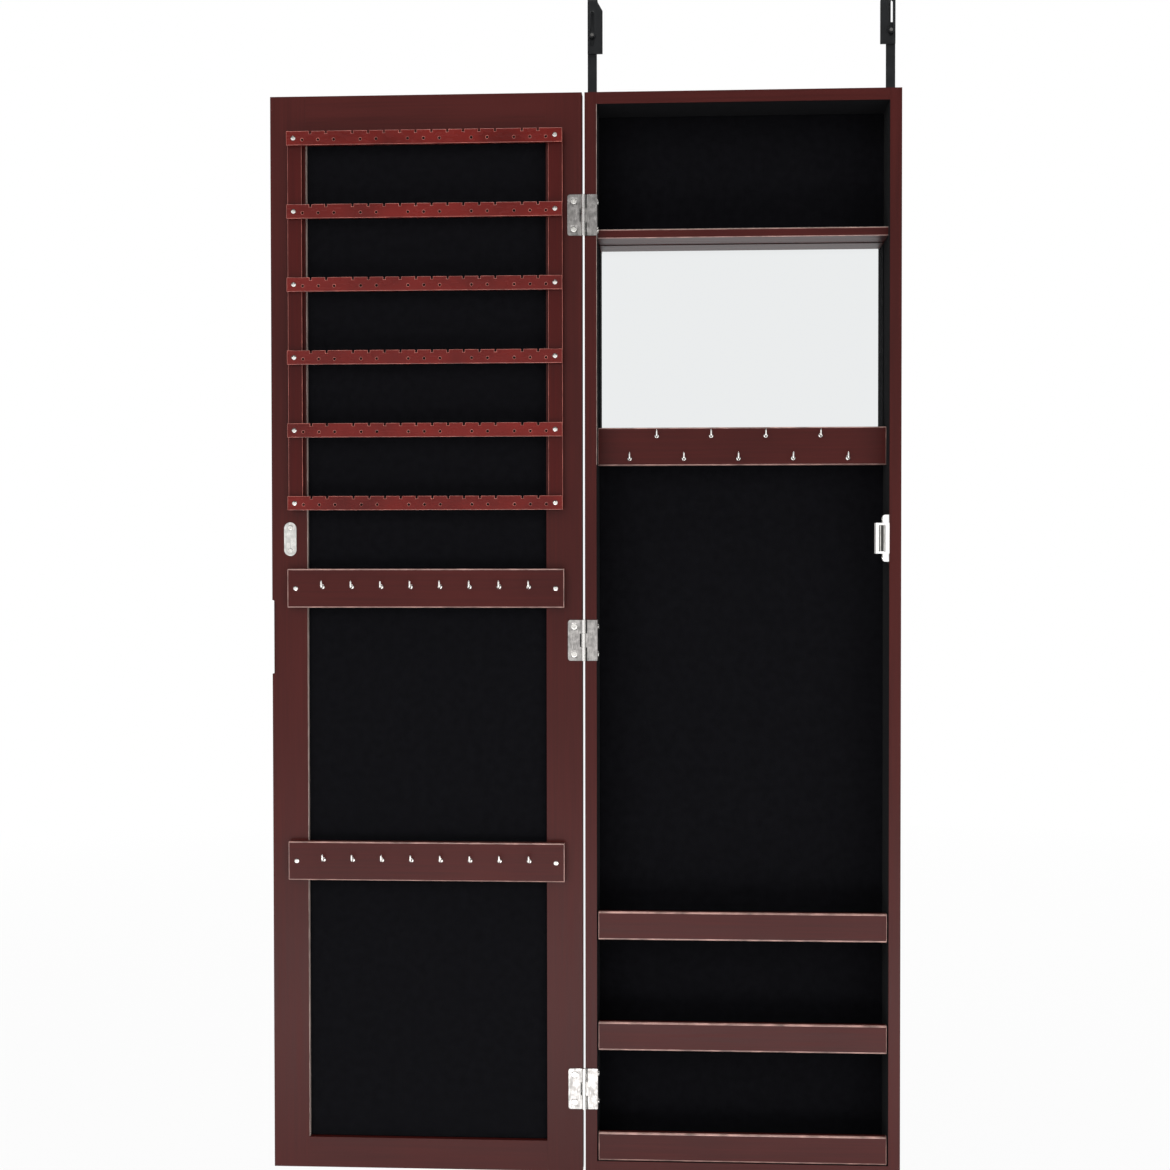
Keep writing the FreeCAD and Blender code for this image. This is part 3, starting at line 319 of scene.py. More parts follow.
def cup_hook(wire, bow):
    """A cup hook, out along -y from a rail's face at y = 0.

    The wire's middle line dips 25 degrees for 2 mm, bows round at the radius `bow` until it is
    upright and runs up 4.8 mm. With h the heading, which grows along the bow, a point of the line
    is out = neck cos h0 + bow (sin h - sin h0) and up = neck sin h0 + bow (cos h0 - cos h) + tip.
    The tube's point at angle a is line + radius (cos a n + sin a x), n square to the heading. Its
    end is a half ball. The collar is a low dome, and the shank in the wood is threaded.
    """
    neck, tip, start = 2.0, 4.8, math.radians(-25)
    sweep = math.pi / 2 - start
    arc = bow * sweep
    along = np.concatenate(
        [[0, 0], np.linspace(0.5, neck, 3), neck + arc * np.linspace(0.08, 1, 13), [neck + arc + tip / 2]]
    )
    cap = np.linspace(0, math.pi / 2, 5)
    along = np.concatenate([along, neck + arc + tip - wire + wire * np.sin(cap)])
    radius = np.concatenate([[0], np.full(len(along) - 1 - len(cap), wire), wire * np.cos(cap)])
    heading = start + np.clip((along - neck) / bow, 0, sweep)
    straight, end = np.clip(along, 0, neck), np.clip(along - neck - arc, 0, tip)
    out = 0.5 + straight * math.cos(start) + bow * (np.sin(heading) - math.sin(start))
    up = straight * math.sin(start) + bow * (math.cos(start) - np.cos(heading)) + end
    angle = np.linspace(0, 2 * np.pi, 12, endpoint=False)
    lift = radius[:, None] * np.cos(angle)
    points = np.stack(
        [
            radius[:, None] * np.sin(angle),
            -(out[:, None] - lift * np.sin(heading)[:, None]),
            up[:, None] + lift * np.cos(heading)[:, None],
        ],
        axis=-1,
    )
    tube = points.reshape(-1, 3), grid_faces(len(along), len(angle))
    collar = turned([0, 1.3, 2.1, 2.5, 2.6, 2.6, 0], [1.05, 1.0, 0.8, 0.5, 0.25, 0, 0], 18)
    shank = threaded(wire, 0.25, 0.9, 0.4, -7, point=2.5)
    origin = np.zeros(3)
    return gathered([tube, aimed(collar, origin, FRONT), aimed(shank, origin, FRONT)])


def hooks_at(places, sizes):
    hook, faces = cup_hook(sizes.wire / MM, sizes.bow / MM)
    return gathered([(hook + place, faces) for place in places])


# Sixteen directions round a hole, on the square of cells that it takes and on its circle.
DIAGONAL = math.tan(math.pi / 8)
SIDE = np.array([(1, -1), (1, -DIAGONAL), (1, 0), (1, DIAGONAL)])
SQUARE = np.concatenate([SIDE, SIDE[:, ::-1] * (-1, 1), -SIDE, SIDE[:, ::-1] * (1, -1)])
CIRCLE = SQUARE / np.linalg.norm(SQUARE, axis=1, keepdims=True)
SPREAD = np.array([-1, -DIAGONAL, 0, DIAGONAL, 1])


def pierced_sheet(across, along, holes, reach, front_radius, back_radius, notches=()):
    """A flat sheet with holes and notches, as front points, back points and shared faces.

    It is a grid on the given lines, less the cells in a notch and the square of cells that each
    hole takes, `reach` each way. A ring joins that square to the hole's circle: point k lies at
    the hole + radius (cos a, sin a), with a the direction of point k of the square.
    """
    holes = np.asarray(holes, float).reshape(-1, 2)
    u = np.unique(np.round(np.concatenate([across, (holes[:, :1] + reach * SPREAD).ravel()]), 5))
    v = np.unique(np.round(np.concatenate([along, (holes[:, 1:] + reach * SPREAD).ravel()]), 5))
    grid = np.stack(np.meshgrid(u, v, indexing="ij"), axis=-1).reshape(-1, 2)
    faces = grid_faces(len(u), len(v), closed=False)
    middle = grid[faces].mean(axis=1)
    in_hole = (np.abs(middle[:, None] - holes[None]).max(axis=2) < reach).any(axis=1)
    in_notch = np.zeros(len(faces), bool)
    for low_u, high_u, low_v in notches:
        in_notch |= (middle[:, 0] > low_u) & (middle[:, 0] < high_u) & (middle[:, 1] > low_v)
    faces = faces[~(in_hole | in_notch)]
    squares = (holes[:, None] + reach * SQUARE).reshape(-1, 2)
    ring = grid_faces(2, 16)
    ring = np.where(ring >= 16, ring - 16 + len(squares), ring)
    rings = (ring[None] + 16 * np.arange(len(holes))[:, None, None]).reshape(-1, 4) + len(grid)
    faces = np.concatenate([faces, rings])
    front = np.concatenate([grid, squares, (holes[:, None] + front_radius * CIRCLE).reshape(-1, 2)])
    back = np.concatenate([grid, squares, (holes[:, None] + back_radius * CIRCLE).reshape(-1, 2)])
    _, kept, number = np.unique(np.round(front, 4), axis=0, return_index=True, return_inverse=True)
    faces = kept[number.ravel()[faces]]
    used, faces = np.unique(faces, return_inverse=True)
    return front[used], back[used], faces.reshape(-1, 4)


def thickened(front, back, faces):
    """A closed shell from the two faces of a sheet, with a wall along each edge of one face only."""
    edges = faces[:, [0, 1, 1, 2, 2, 3, 3, 0]].reshape(-1, 2)
    _, first, count = np.unique(np.sort(edges, axis=1), axis=0, return_index=True, return_counts=True)
    rim = edges[first[count == 1]]
    offset = len(front)
    walls = np.column_stack([rim[:, 1], rim[:, 0], rim[:, 0] + offset, rim[:, 1] + offset])
    return np.concatenate([front, back]), np.concatenate([faces, faces[:, ::-1] + offset, walls])


def rounded_corners(points, middle, half, radius, low_side_only=False):
    """Draws the corners of a rectangle in to arcs.

    Inside a corner's square a point at offset (a, b) from the arc's centre moves to
    (a, b) max(a, b) / sqrt(a^2 + b^2), so that each square about the centre becomes an arc.
    """
    offset = points - middle
    inner = half - radius
    local = np.maximum(np.abs(offset) - inner, 0)
    size = np.linalg.norm(local, axis=1)
    corner = (local.min(axis=1) > 0) & ((offset[:, 1] < 0) | (not low_side_only))
    scale = np.where(corner, local.max(axis=1) / np.maximum(size, 1e-9), 1)
    moved = np.sign(offset) * (inner + local * scale[:, None]) + middle
    return np.where(corner[:, None], moved, points)


# ---------------------------------------------------------------- objects


def piece(name, surface, finish, body, nodes, edge=0.0, steps=2, highlight_finish=None):
    """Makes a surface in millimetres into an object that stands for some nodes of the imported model."""
    points, faces = surface
    mesh = bpy.data.meshes.new(name)
    mesh.from_pydata((points * MM).tolist(), [], faces.tolist())
    build = bmesh.new()
    build.from_mesh(mesh)
    bmesh.ops.remove_doubles(build, verts=build.verts, dist=SAME_POINT)
    bmesh.ops.recalc_face_normals(build, faces=build.faces)
    build.to_mesh(mesh)
    build.free()
    mesh.materials.append(finish)
    made = bpy.data.objects.new(name, mesh)
    bpy.context.scene.collection.objects.link(made)
    if edge:
        soften(made, edge, steps, highlight_finish)
    else:
        mesh.shade_smooth()
        mesh.set_sharp_from_angle(angle=CREASE)
    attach(made, body)
    if nodes:
        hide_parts(*nodes)
    return made


def soften(thing, edge, steps, highlight_finish=None):
    """Rounds an object's edges with a Bevel modifier, on its points merged by a Weld.

    Where a highlight finish is given, the rounded edges take it: a painted highlight along them.
    """
    weld = thing.modifiers.new("merged_points", "WELD")
    weld.merge_threshold = SAME_POINT
    bevel = thing.modifiers.new("soft_edges", "BEVEL")
    bevel.width = edge
    bevel.segments = steps
    bevel.limit_method = "ANGLE"
    bevel.angle_limit = BEVEL_FROM
    if highlight_finish:
        thing.data.materials.append(highlight_finish)
        bevel.material = 1


def dress(names, finish, edge=0.0, steps=2, highlight_finish=None):
    """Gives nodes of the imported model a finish, and soft edges where an edge radius is given."""
    for name in names:
        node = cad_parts[name]
        node.data.materials.clear()
        node.data.materials.append(finish)
        if edge:
            soften(node, edge, steps, highlight_finish)


# ---------------------------------------------------------------- finishes


def finish(name, colour, roughness, **sockets):
    """A new material with a Principled shader set to plain values."""
    material = bpy.data.materials.new(name)
    material.use_nodes = True
    shader = material.node_tree.nodes["Principled BSDF"]
    shader.inputs["Base Color"].default_value = (*colour, 1)
    shader.inputs["Roughness"].default_value = roughness
    for socket, value in sockets.items():
        shader.inputs[socket.replace("_", " ")].default_value = value
    return material, material.node_tree, shader


def add(tree, kind, inputs=None, **settings):
    """A new shader node. Each input is a plain value, or the output of another node."""
    made = tree.nodes.new(f"ShaderNode{kind}")
    for key, value in settings.items():
        setattr(made, key, value)
    for key, value in (inputs or {}).items():
        if isinstance(value, bpy.types.NodeSocket):
            tree.links.new(value, made.inputs[key])
        else:
            made.inputs[key].default_value = value
    return made


def place_on(tree, kind="Object"):
    """Coordinates on the object itself, or another kind."""
    return add(tree, "TexCoord").outputs[kind]


def sums(tree, operation, *values):
    """The result of a Math node on one or two values."""
    return add(tree, "Math", dict(enumerate(values)), operation=operation).outputs[0]


def noise(tree, waves, detail=2.0):
    """Noise on the object's own coordinates, with so many waves a metre: along all, or x, y and z."""
    waves = waves if isinstance(waves, (tuple, list)) else (waves,) * 3
    scaled = add(tree, "Mapping", {"Vector": place_on(tree), "Scale": waves})
    inputs = {"Vector": scaled.outputs["Vector"], "Scale": 1.0, "Detail": detail}
    return add(tree, "TexNoise", inputs).outputs["Fac"]


def ranged(tree, value, low=0.0, high=1.0, start=0.3, end=0.7):
    """A pattern's values from start to end spread over low to high."""
    inputs = {"Value": value, "From Min": start, "From Max": end, "To Min": low, "To Max": high}
    return add(tree, "MapRange", inputs).outputs["Result"]


def blended(tree, shader, amount, first, second):
    """Base colour between two, each a plain colour or another node's output."""
    mix = add(tree, "Mix", data_type="RGBA")
    ends = [socket for socket in mix.inputs if socket.type == "RGBA"]
    tree.links.new(amount, mix.inputs[0])
    for socket, value in zip(ends, (first, second)):
        if isinstance(value, bpy.types.NodeSocket):
            tree.links.new(value, socket)
        else:
            socket.default_value = (*value, 1)
    result = [socket for socket in mix.outputs if socket.type == "RGBA"][0]
    tree.links.new(result, shader.inputs["Base Color"])


def shades(tree, shader, pattern, colour, dark, light):
    """Base colour between two shades of a colour, by a pattern."""
    blended(tree, shader, pattern, scaled(colour, dark), scaled(colour, light))


def relief(tree, shader, height, depth):
    """Bump of a given depth in metres from a pattern."""
    bump = add(tree, "Bump", {"Height": height, "Strength": 1.0, "Distance": depth})
    tree.links.new(bump.outputs["Normal"], shader.inputs["Normal"])


def scaled(colour, factor):
    return tuple(channel * factor for channel in colour)


def stained_wood(name, colour, along):
    """Satin stain over close, nearly hidden grain that runs along one axis: 0 is x and 2 is z."""
    material, tree, shader = finish(name, colour, 0.36, Specular_IOR_Level=0.22)
    grain, pores = [420.0, 420.0, 420.0], [2600.0, 2600.0, 2600.0]
    grain[along], pores[along] = 9.0, 120.0
    tone = noise(tree, (7.0, 7.0, 4.0), 1.0)
    streak = noise(tree, grain, 4.0)
    both = sums(tree, "ADD", tone, streak)
    shades(tree, shader, ranged(tree, both, start=0.75, end=1.25), colour, 0.84, 1.16)
    pore = noise(tree, pores)
    tree.links.new(ranged(tree, streak, 0.34, 0.43), shader.inputs["Roughness"])
    relief(tree, shader, pore, 0.00003)
    return material


def mottled(name, colour, roughness, gloss, waves, detail, dark, light, depth):
    """A finish whose shade and relief follow one noise. The gloss is the shader's specular level."""
    material, tree, shader = finish(name, colour, roughness, Specular_IOR_Level=gloss)
    pattern = noise(tree, waves, detail)
    shades(tree, shader, ranged(tree, pattern), colour, dark, light)
    relief(tree, shader, pattern, depth)
    return material


def edge_highlight_finish(name, colour):
    """Painted highlight along an edge: a lighter, glossier shade of the stain or lacquer, in uneven patches.
    """
    return mottled(name, colour, 0.35, 0.9, 70.0, 4.0, 0.45, 1.5, 0.00002)


def bar_lacquer(colour):
    """Gloss lacquer, richer in some stretches, with a faint ripple from the brush."""
    material, tree, shader = finish(
        "bar_lacquer", colour, 0.24, Specular_IOR_Level=0.24, Coat_Weight=0.06, Coat_Roughness=0.12
    )
    stretch, gloss = noise(tree, (16.0, 30.0, 22.0), 3.0), noise(tree, (60.0, 200.0, 200.0))
    shades(tree, shader, ranged(tree, stretch), colour, 0.72, 1.42)
    tree.links.new(ranged(tree, gloss, 0.18, 0.32), shader.inputs["Roughness"])
    relief(tree, shader, noise(tree, (90.0, 500.0, 500.0)), 0.00004)
    return material


def felt(colour):
    """Short matt pile: clumped fibres that take the light unevenly."""
    material, tree, shader = finish(
        "black_felt", colour, 1.0, Specular_IOR_Level=0.03, Sheen_Weight=0.015, Sheen_Roughness=0.5
    )
    fibre, clump = noise(tree, 1500.0, 5.0), noise(tree, 110.0, 3.0)
    both = sums(tree, "ADD", fibre, clump)
    shades(tree, shader, ranged(tree, both, start=0.75, end=1.25), colour, 0.82, 1.2)
    relief(tree, shader, fibre, 0.0002)
    return material


def painted_line_highlights(colour):
    """Painted highlight lines: a pale, rough, mottled shade for thin strips at the linings' front edges."""
    return mottled("highlight_lines", colour, 0.8, 0.2, (500.0, 500.0, 60.0), 4.0, 0.5, 1.3, 0.00005)


def plain_board(colour):
    """Dark hardboard with fine flecks."""
    return mottled("backing_board", colour, 0.7, 0.3, 900.0, 3.0, 0.7, 1.7, 0.00008)


def silvered_glass(colour):
    """Silvered glass: a clear reflection across the sheet, and a green ground edge round it."""
    material, tree, shader = finish("silvered_glass", colour, 0.012, Metallic=1.0)
    facing = add(tree, "SeparateXYZ", {"Vector": place_on(tree, "Normal")}).outputs["Y"]
    face = ranged(tree, sums(tree, "ABSOLUTE", facing), start=0.8, end=0.97)
    blended(tree, shader, face, GLASS_EDGE, colour)
    worn = ranged(tree, noise(tree, 14.0), 0.006, 0.02)
    tree.links.new(ranged(tree, face, 0.3, worn, 0.0, 1.0), shader.inputs["Roughness"])
    return material


def brushed(name, colour, rough, waves, mottle):
    """Plated steel: fine drawn lines, cloudy mottling and uneven gloss."""
    material, tree, shader = finish(name, colour, rough, Metallic=1.0)
    cloud, lines = noise(tree, 170.0, 4.0), noise(tree, waves, 3.0)
    both = sums(tree, "ADD", cloud, lines)
    shades(tree, shader, ranged(tree, both, start=0.75, end=1.25), colour, 1 - mottle, 1 + mottle)
    tree.links.new(ranged(tree, both, rough * 1.35, rough * 0.7, 0.75, 1.25), shader.inputs["Roughness"])
    relief(tree, shader, lines, 0.00002)
    return material


def hinge_nickel_with_highlight(colour, axis):
    """Satin nickel with a painted highlight on the knuckles: near-white within 2 mm of the hinges' upright
    axis.
    """
    material = brushed("hinge_nickel_with_highlight", colour, 0.3, (1500.0, 1500.0, 120.0), 0.4)
    tree = material.node_tree
    shader = tree.nodes["Principled BSDF"]
    across = add(tree, "SeparateXYZ", {"Vector": place_on(tree)}).outputs["X"]
    near = sums(tree, "ABSOLUTE", sums(tree, "SUBTRACT", across, axis))
    plain = shader.inputs["Base Color"].links[0].from_socket
    # Near-white nickel round the pins' axis: a painted highlight on the knuckles.
    blended(tree, shader, ranged(tree, near, 1.0, 0.0, 0.0019, 0.0026), plain, KNUCKLE_HIGHLIGHT)
    return material


def moulded_plastic(colour):
    """White moulded plastic with a faint orange-peel skin."""
    material, tree, shader = finish("catch_plastic", colour, 0.38)
    shades(tree, shader, ranged(tree, noise(tree, 90.0)), colour, 0.94, 1.0)
    relief(tree, shader, noise(tree, 1200.0), 0.00003)
    return material


def ferrite():
    """Dull grey sintered magnet."""
    material, tree, shader = finish("ferrite", (0.04, 0.038, 0.036), 0.6)
    speck = noise(tree, 2200.0, 3.0)
    blended(tree, shader, ranged(tree, speck), (0.028, 0.027, 0.026), (0.06, 0.057, 0.054))
    relief(tree, shader, speck, 0.00005)
    return material


def powder_coat(colour):
    """Black powder coat: a fine pebbled skin, a little glossier on its crests."""
    material, tree, shader = finish("powder_coat", colour, 0.45, Specular_IOR_Level=0.25)
    pebble = noise(tree, 1700.0)
    shades(tree, shader, ranged(tree, noise(tree, 60.0, 3.0)), colour, 0.8, 1.3)
    tree.links.new(ranged(tree, pebble, 0.52, 0.36), shader.inputs["Roughness"])
    relief(tree, shader, pebble, 0.00006)
    return material


# ---------------------------------------------------------------- operators, one for each group of pieces


def chosen(context):
    """The sizes and the finishes as the user has set them."""
    return context.scene.cabinet_sizes, context.scene.cabinet_finishes


class CABINET_OT_woodwork(bpy.types.Operator):
    """Stains the box, shelf, lips, rails and door frame, sands their edges, and paints a highlight along the
    rounded edges of the shelf, lips and rails
    """

    bl_idname = "cabinet.woodwork"
    bl_label = "Woodwork"

    def execute(self, context):
        sizes, colours = chosen(context)
        upright = stained_wood("wood_upright", colours.wood, 2)
        across = stained_wood("wood_across", colours.wood, 0)
        # The rounded edges of the fitted wood get a lighter, glossier shade: a painted highlight.
        highlight_finish = edge_highlight_finish("stain_edge_highlight", EDGE_HIGHLIGHT_WOOD)
        dress(UPRIGHT_FRAME, upright, sizes.joint_edge, sizes.edge_steps)
        dress(CROSS_FRAME, across, sizes.joint_edge, sizes.edge_steps)
        dress(FITTED_WOOD, across, sizes.wood_edge, sizes.edge_steps, highlight_finish)
        return {"FINISHED"}


class CABINET_OT_linings(bpy.types.Operator):
    """Lays felt on the linings, tray shelves and door panel, finishes the boards behind them, and lays thin
    pale strips at their front edges as painted highlight lines
    """

    bl_idname = "cabinet.linings"
    bl_label = "Linings"

    thick, setback, strip = 0.3, 0.6, 0.55
    stile_lap, felt_setback, cell = 6, 6.2, 40

    def execute(self, context):
        sizes, colours = chosen(context)
        pile = felt(colours.felt)
        dress(FELTS, pile, sizes.wood_edge, sizes.edge_steps)
        dress(BOARDS, plain_board(colours.board))
        front, back = BOX["cabinet_left_side"][0][1] + self.setback, BOX["main_back_lining"][0][1]
        left, right = BOX["cabinet_left_side"][1][0], BOX["cabinet_right_side"][0][0]
        foot, roof = BOX["cabinet_bottom"][1][2], BOX["cabinet_top"][0][2]
        sheets = [
            self.sheet((left, front, foot), (left + self.thick, back, roof)),
            self.sheet((right - self.thick, front, foot), (right, back, roof)),
            self.sheet((left, front, roof - self.thick), (right, back, roof)),
            self.sheet((left, front, foot), (right, back, foot + self.thick)),
        ]
        piece("wall_felt", gathered(sheets), pile, "cabinet", ())
        # Pale strips on the left wall's front edge above the rail and on the upper shelf's front top edge:
        # painted highlight lines.
        line_highlight = painted_line_highlights(colours.line_highlight)
        rail_top, (shelf_low, shelf_high) = BOX["cabinet_hook_rail"][0][2], BOX["upper_shelf"]
        wall = self.sheet((left, front - 0.3, rail_top), (left + self.strip, front, roof))
        shelf = self.sheet(
            (left, shelf_low[1] - 0.25, shelf_high[2] - 0.1), (right, shelf_low[1], shelf_high[2] + 0.3)
        )
        piece("lining_edge_highlights", gathered([wall, shelf]), line_highlight, "cabinet", ())
        # A pale strip at the free stile's inner edge beside the door's felt: a painted highlight line.
        sight = BOX["door_free_stile"][1][0] - self.stile_lap
        felt_low, felt_high = BOX["door_felt_panel"]
        strip = self.sheet(
            (sight, felt_low[1] - self.felt_setback, felt_low[2] + 0.5),
            (sight + self.strip, felt_low[1], felt_high[2] - 0.5),
        )
        piece("door_edge_highlight", strip, line_highlight, "door", ())
        return {"FINISHED"}

    def sheet(self, low, high):
        """A thin board between two corners, its faces split so that it is a grid and not a plain block."""
        low, high = np.array(low, float), np.array(high, float)
        thin = int(np.argmin(high - low))
        u, v = [axis for axis in range(3) if axis != thin]
        counts = np.maximum(2, ((high - low) / self.cell).astype(int) + 2)
        lines = [np.linspace(low[axis], high[axis], counts[axis]) for axis in (u, v)]
        flat = np.stack(np.meshgrid(*lines, indexing="ij"), axis=-1).reshape(-1, 2)
        faces = []
        for level in (low[thin], high[thin]):
            face = np.full((len(flat), 3), level)
            face[:, [u, v]] = flat
            faces.append(face)
        return thickened(faces[0], faces[1], grid_faces(counts[u], counts[v], closed=False))


class CABINET_OT_mirrors(bpy.types.Operator):
    """Silvers the inner mirror and the door's mirror, with ground edges"""

    bl_idname = "cabinet.mirrors"
    bl_label = "Mirrors"

    def execute(self, context):
        sizes, colours = chosen(context)
        dress(MIRRORS, silvered_glass(colours.silver), sizes.wood_edge, sizes.edge_steps)
        return {"FINISHED"}


class CABINET_OT_earring_rack(bpy.types.Operator):
    """Notches and drills the six earring bars, lacquers them and their battens, and paints a highlight along
    their rounded edges
    """

    bl_idname = "cabinet.earring_rack"
    bl_label = "Earring rack"

    pitch, end_group = 17.7, 35.7
    notch_width, notch_depth, hole_rise, reach = 2.5, 3.0, 6.0, 2.4

    def execute(self, context):
        sizes, colours = chosen(context)
        lacquer = bar_lacquer(colours.lacquer)
        # The rounded edges of the bars and battens get a lighter, glossier shade: a painted highlight.
        highlight_finish = edge_highlight_finish("lacquer_edge_highlight", EDGE_HIGHLIGHT_LACQUER)
        stain = stained_wood("batten_stain", scaled(colours.lacquer, 0.47), 2)
        dress(BATTENS, stain, sizes.wood_edge / 2, sizes.edge_steps, highlight_finish)
        low, high = BOX[BARS[0]]
        middle, half = (low[0] + high[0]) / 2, (high[0] - low[0]) / 2
        height = high[2] - low[2]
        group = half - self.end_group
        notches = np.concatenate(
            [
                -group + self.pitch * (np.arange(2) - 0.5),
                self.pitch * (np.arange(10) - 4.5),
                group + self.pitch * (np.arange(2) - 0.5),
            ]
        )
        steps = np.array([-4, -3, -1, 0, 1, 3, 4])
        ends = self.pitch * np.arange(-1, 2)
        holes = np.concatenate([-group + ends, self.pitch * steps, group + ends])
        edges = notches[:, None] + self.notch_width / 2 * np.array([-1, 1])
        front, back, faces = pierced_sheet(
            np.concatenate([[-half, half], edges.ravel()]),
            np.array([0, height - self.notch_depth, height]),
            np.column_stack([holes, np.full(len(holes), self.hole_rise)]),
            self.reach,
            sizes.hole / MM,
            sizes.hole / MM,
            [(left, right, height - self.notch_depth) for left, right in edges],
        )
        for name in BARS:
            low, high = BOX[name]
            sides = [
                np.column_stack([points[:, 0] + middle, np.full(len(points), depth), points[:, 1] + low[2]])
                for points, depth in ((front, low[1]), (back, high[1]))
            ]
            bar = thickened(*sides, faces)
            edge = sizes.wood_edge / 2
            piece(f"notched_bar_{name[-1]}", bar, lacquer, "door", (name,), edge, 2, highlight_finish)
        return {"FINISHED"}


class CABINET_OT_screws(bpy.types.Operator):
    """Drives the wood screws of the rack, rails, strike plate, catch, hinges and straps"""

    bl_idname = "cabinet.screws"
    bl_label = "Screws"

    small, large = 2.7, 3.4
    box_column, door_column = 10.6, -187.0

    def execute(self, context):
        colours = chosen(context)[1]
        nickel = brushed("bright_nickel", colours.nickel, 0.24, 900.0, 0.1)
        coat = powder_coat(colours.coat)
        columns, _ = self.pair("rack_screws")
        for node, boards, length in (
            ("rack_screws", BARS, 23),
            ("hook_rail_screws", ("door_hook_rail_upper", "door_hook_rail_lower"), 19),
        ):
            boards = [BOX[name] for name in boards]
            places = [(x, low[1], (low[2] + high[2]) / 2) for low, high in boards for x in columns]
            self.drive(node, places, FRONT, self.small, 1.0, length, nickel, "door")
        (low, high), (_, rows) = BOX["strike_screws"], self.pair("strike_screws")
        places = [((low[0] + high[0]) / 2, BOX["strike_plate"][0][1], z) for z in rows]
        self.drive("strike_screws", places, FRONT, self.small, 0.12, 9.6, nickel, "door", sunk=True)
        (low, high), (_, rows) = BOX["catch_screws"], self.pair("catch_screws")
        places = [(low[0] + 1, (low[1] + high[1]) / 2, z) for z in rows]
        self.drive("catch_screws", places, LEFT, self.small, 1.0, 16, nickel, "cabinet")
        box_places, door_places = [], []
        for word in HINGES:
            low, high = BOX[f"hinge_leaf_cabinet_{word}"]
            for rise in (-HINGE_SCREW_RISE, HINGE_SCREW_RISE):
                height = (low[2] + high[2]) / 2 + rise
                box_places.append((high[0], low[1] + self.box_column, height))
                door_places.append((self.door_column, low[1] + 2.2, height))
        self.drive("hinge_screws_cabinet", box_places, RIGHT, self.large, 1.0, 9, nickel, "cabinet")
        self.drive("hinge_screws_door", door_places, FRONT, self.large, 0.15, 9.6, nickel, "door", sunk=True)
        columns, rows = self.pair("strap_screws")
        places = [(x, BOX["strap_screws"][1][1], z) for x in columns for z in rows]
        self.drive("strap_screws", places, REAR, self.small, 0.1, 11.6, coat, "cabinet", "black_steel", True)
        return {"FINISHED"}

    def pair(self, node):
        """The outermost columns and rows of a node's small screws."""
        low, high = BOX[node]
        return [(low[axis] + self.small, high[axis] - self.small) for axis in (0, 2)]

    def drive(self, node, places, outward, radius, crown, length, metal, body, slot="nickel", sunk=False):
        """Sets a screw at each place, with its head's radius and crown and the length in the wood."""
        surface = screws_at(np.array(places), outward, radius, crown, length, sunk)
        piece(f"threaded_{node}", surface, metal, body, (node,))


class CABINET_OT_cup_hooks(bpy.types.Operator):
    """Bends the necklace hooks of the inner rail and of the door's two rails"""

    bl_idname = "cabinet.cup_hooks"
    bl_label = "Cup hooks"

    box_middle, box_pitch, lower_row, upper_row = -3.5, 61.3, 8, 33.5
    door_pitch, door_lift = 33.1, 1.7

    def execute(self, context):
        sizes, colours = chosen(context)
        nickel = brushed("hook_nickel", colours.nickel, 0.2, 900.0, 0.08)
        low, high = BOX["cabinet_hook_rail"]
        rows = ((5, low[2] + self.lower_row), (4, low[2] + self.upper_row))
        places = [
            (self.box_middle + self.box_pitch * (k - (count - 1) / 2), low[1], z)
            for count, z in rows
            for k in range(count)
        ]
        hooks = hooks_at(np.array(places), sizes)
        piece("bent_cabinet_hooks", hooks, nickel, "cabinet", ("cabinet_hooks",))
        for word in ("upper", "lower"):
            low, high = BOX[f"door_hook_rail_{word}"]
            centre, height = (low[0] + high[0]) / 2, (low[2] + high[2]) / 2 + self.door_lift
            places = [(centre + self.door_pitch * (k - 3.5), low[1], height) for k in range(8)]
            name = f"door_hooks_{word}"
            piece(f"bent_{name}", hooks_at(np.array(places), sizes), nickel, "door", (name,))
        return {"FINISHED"}


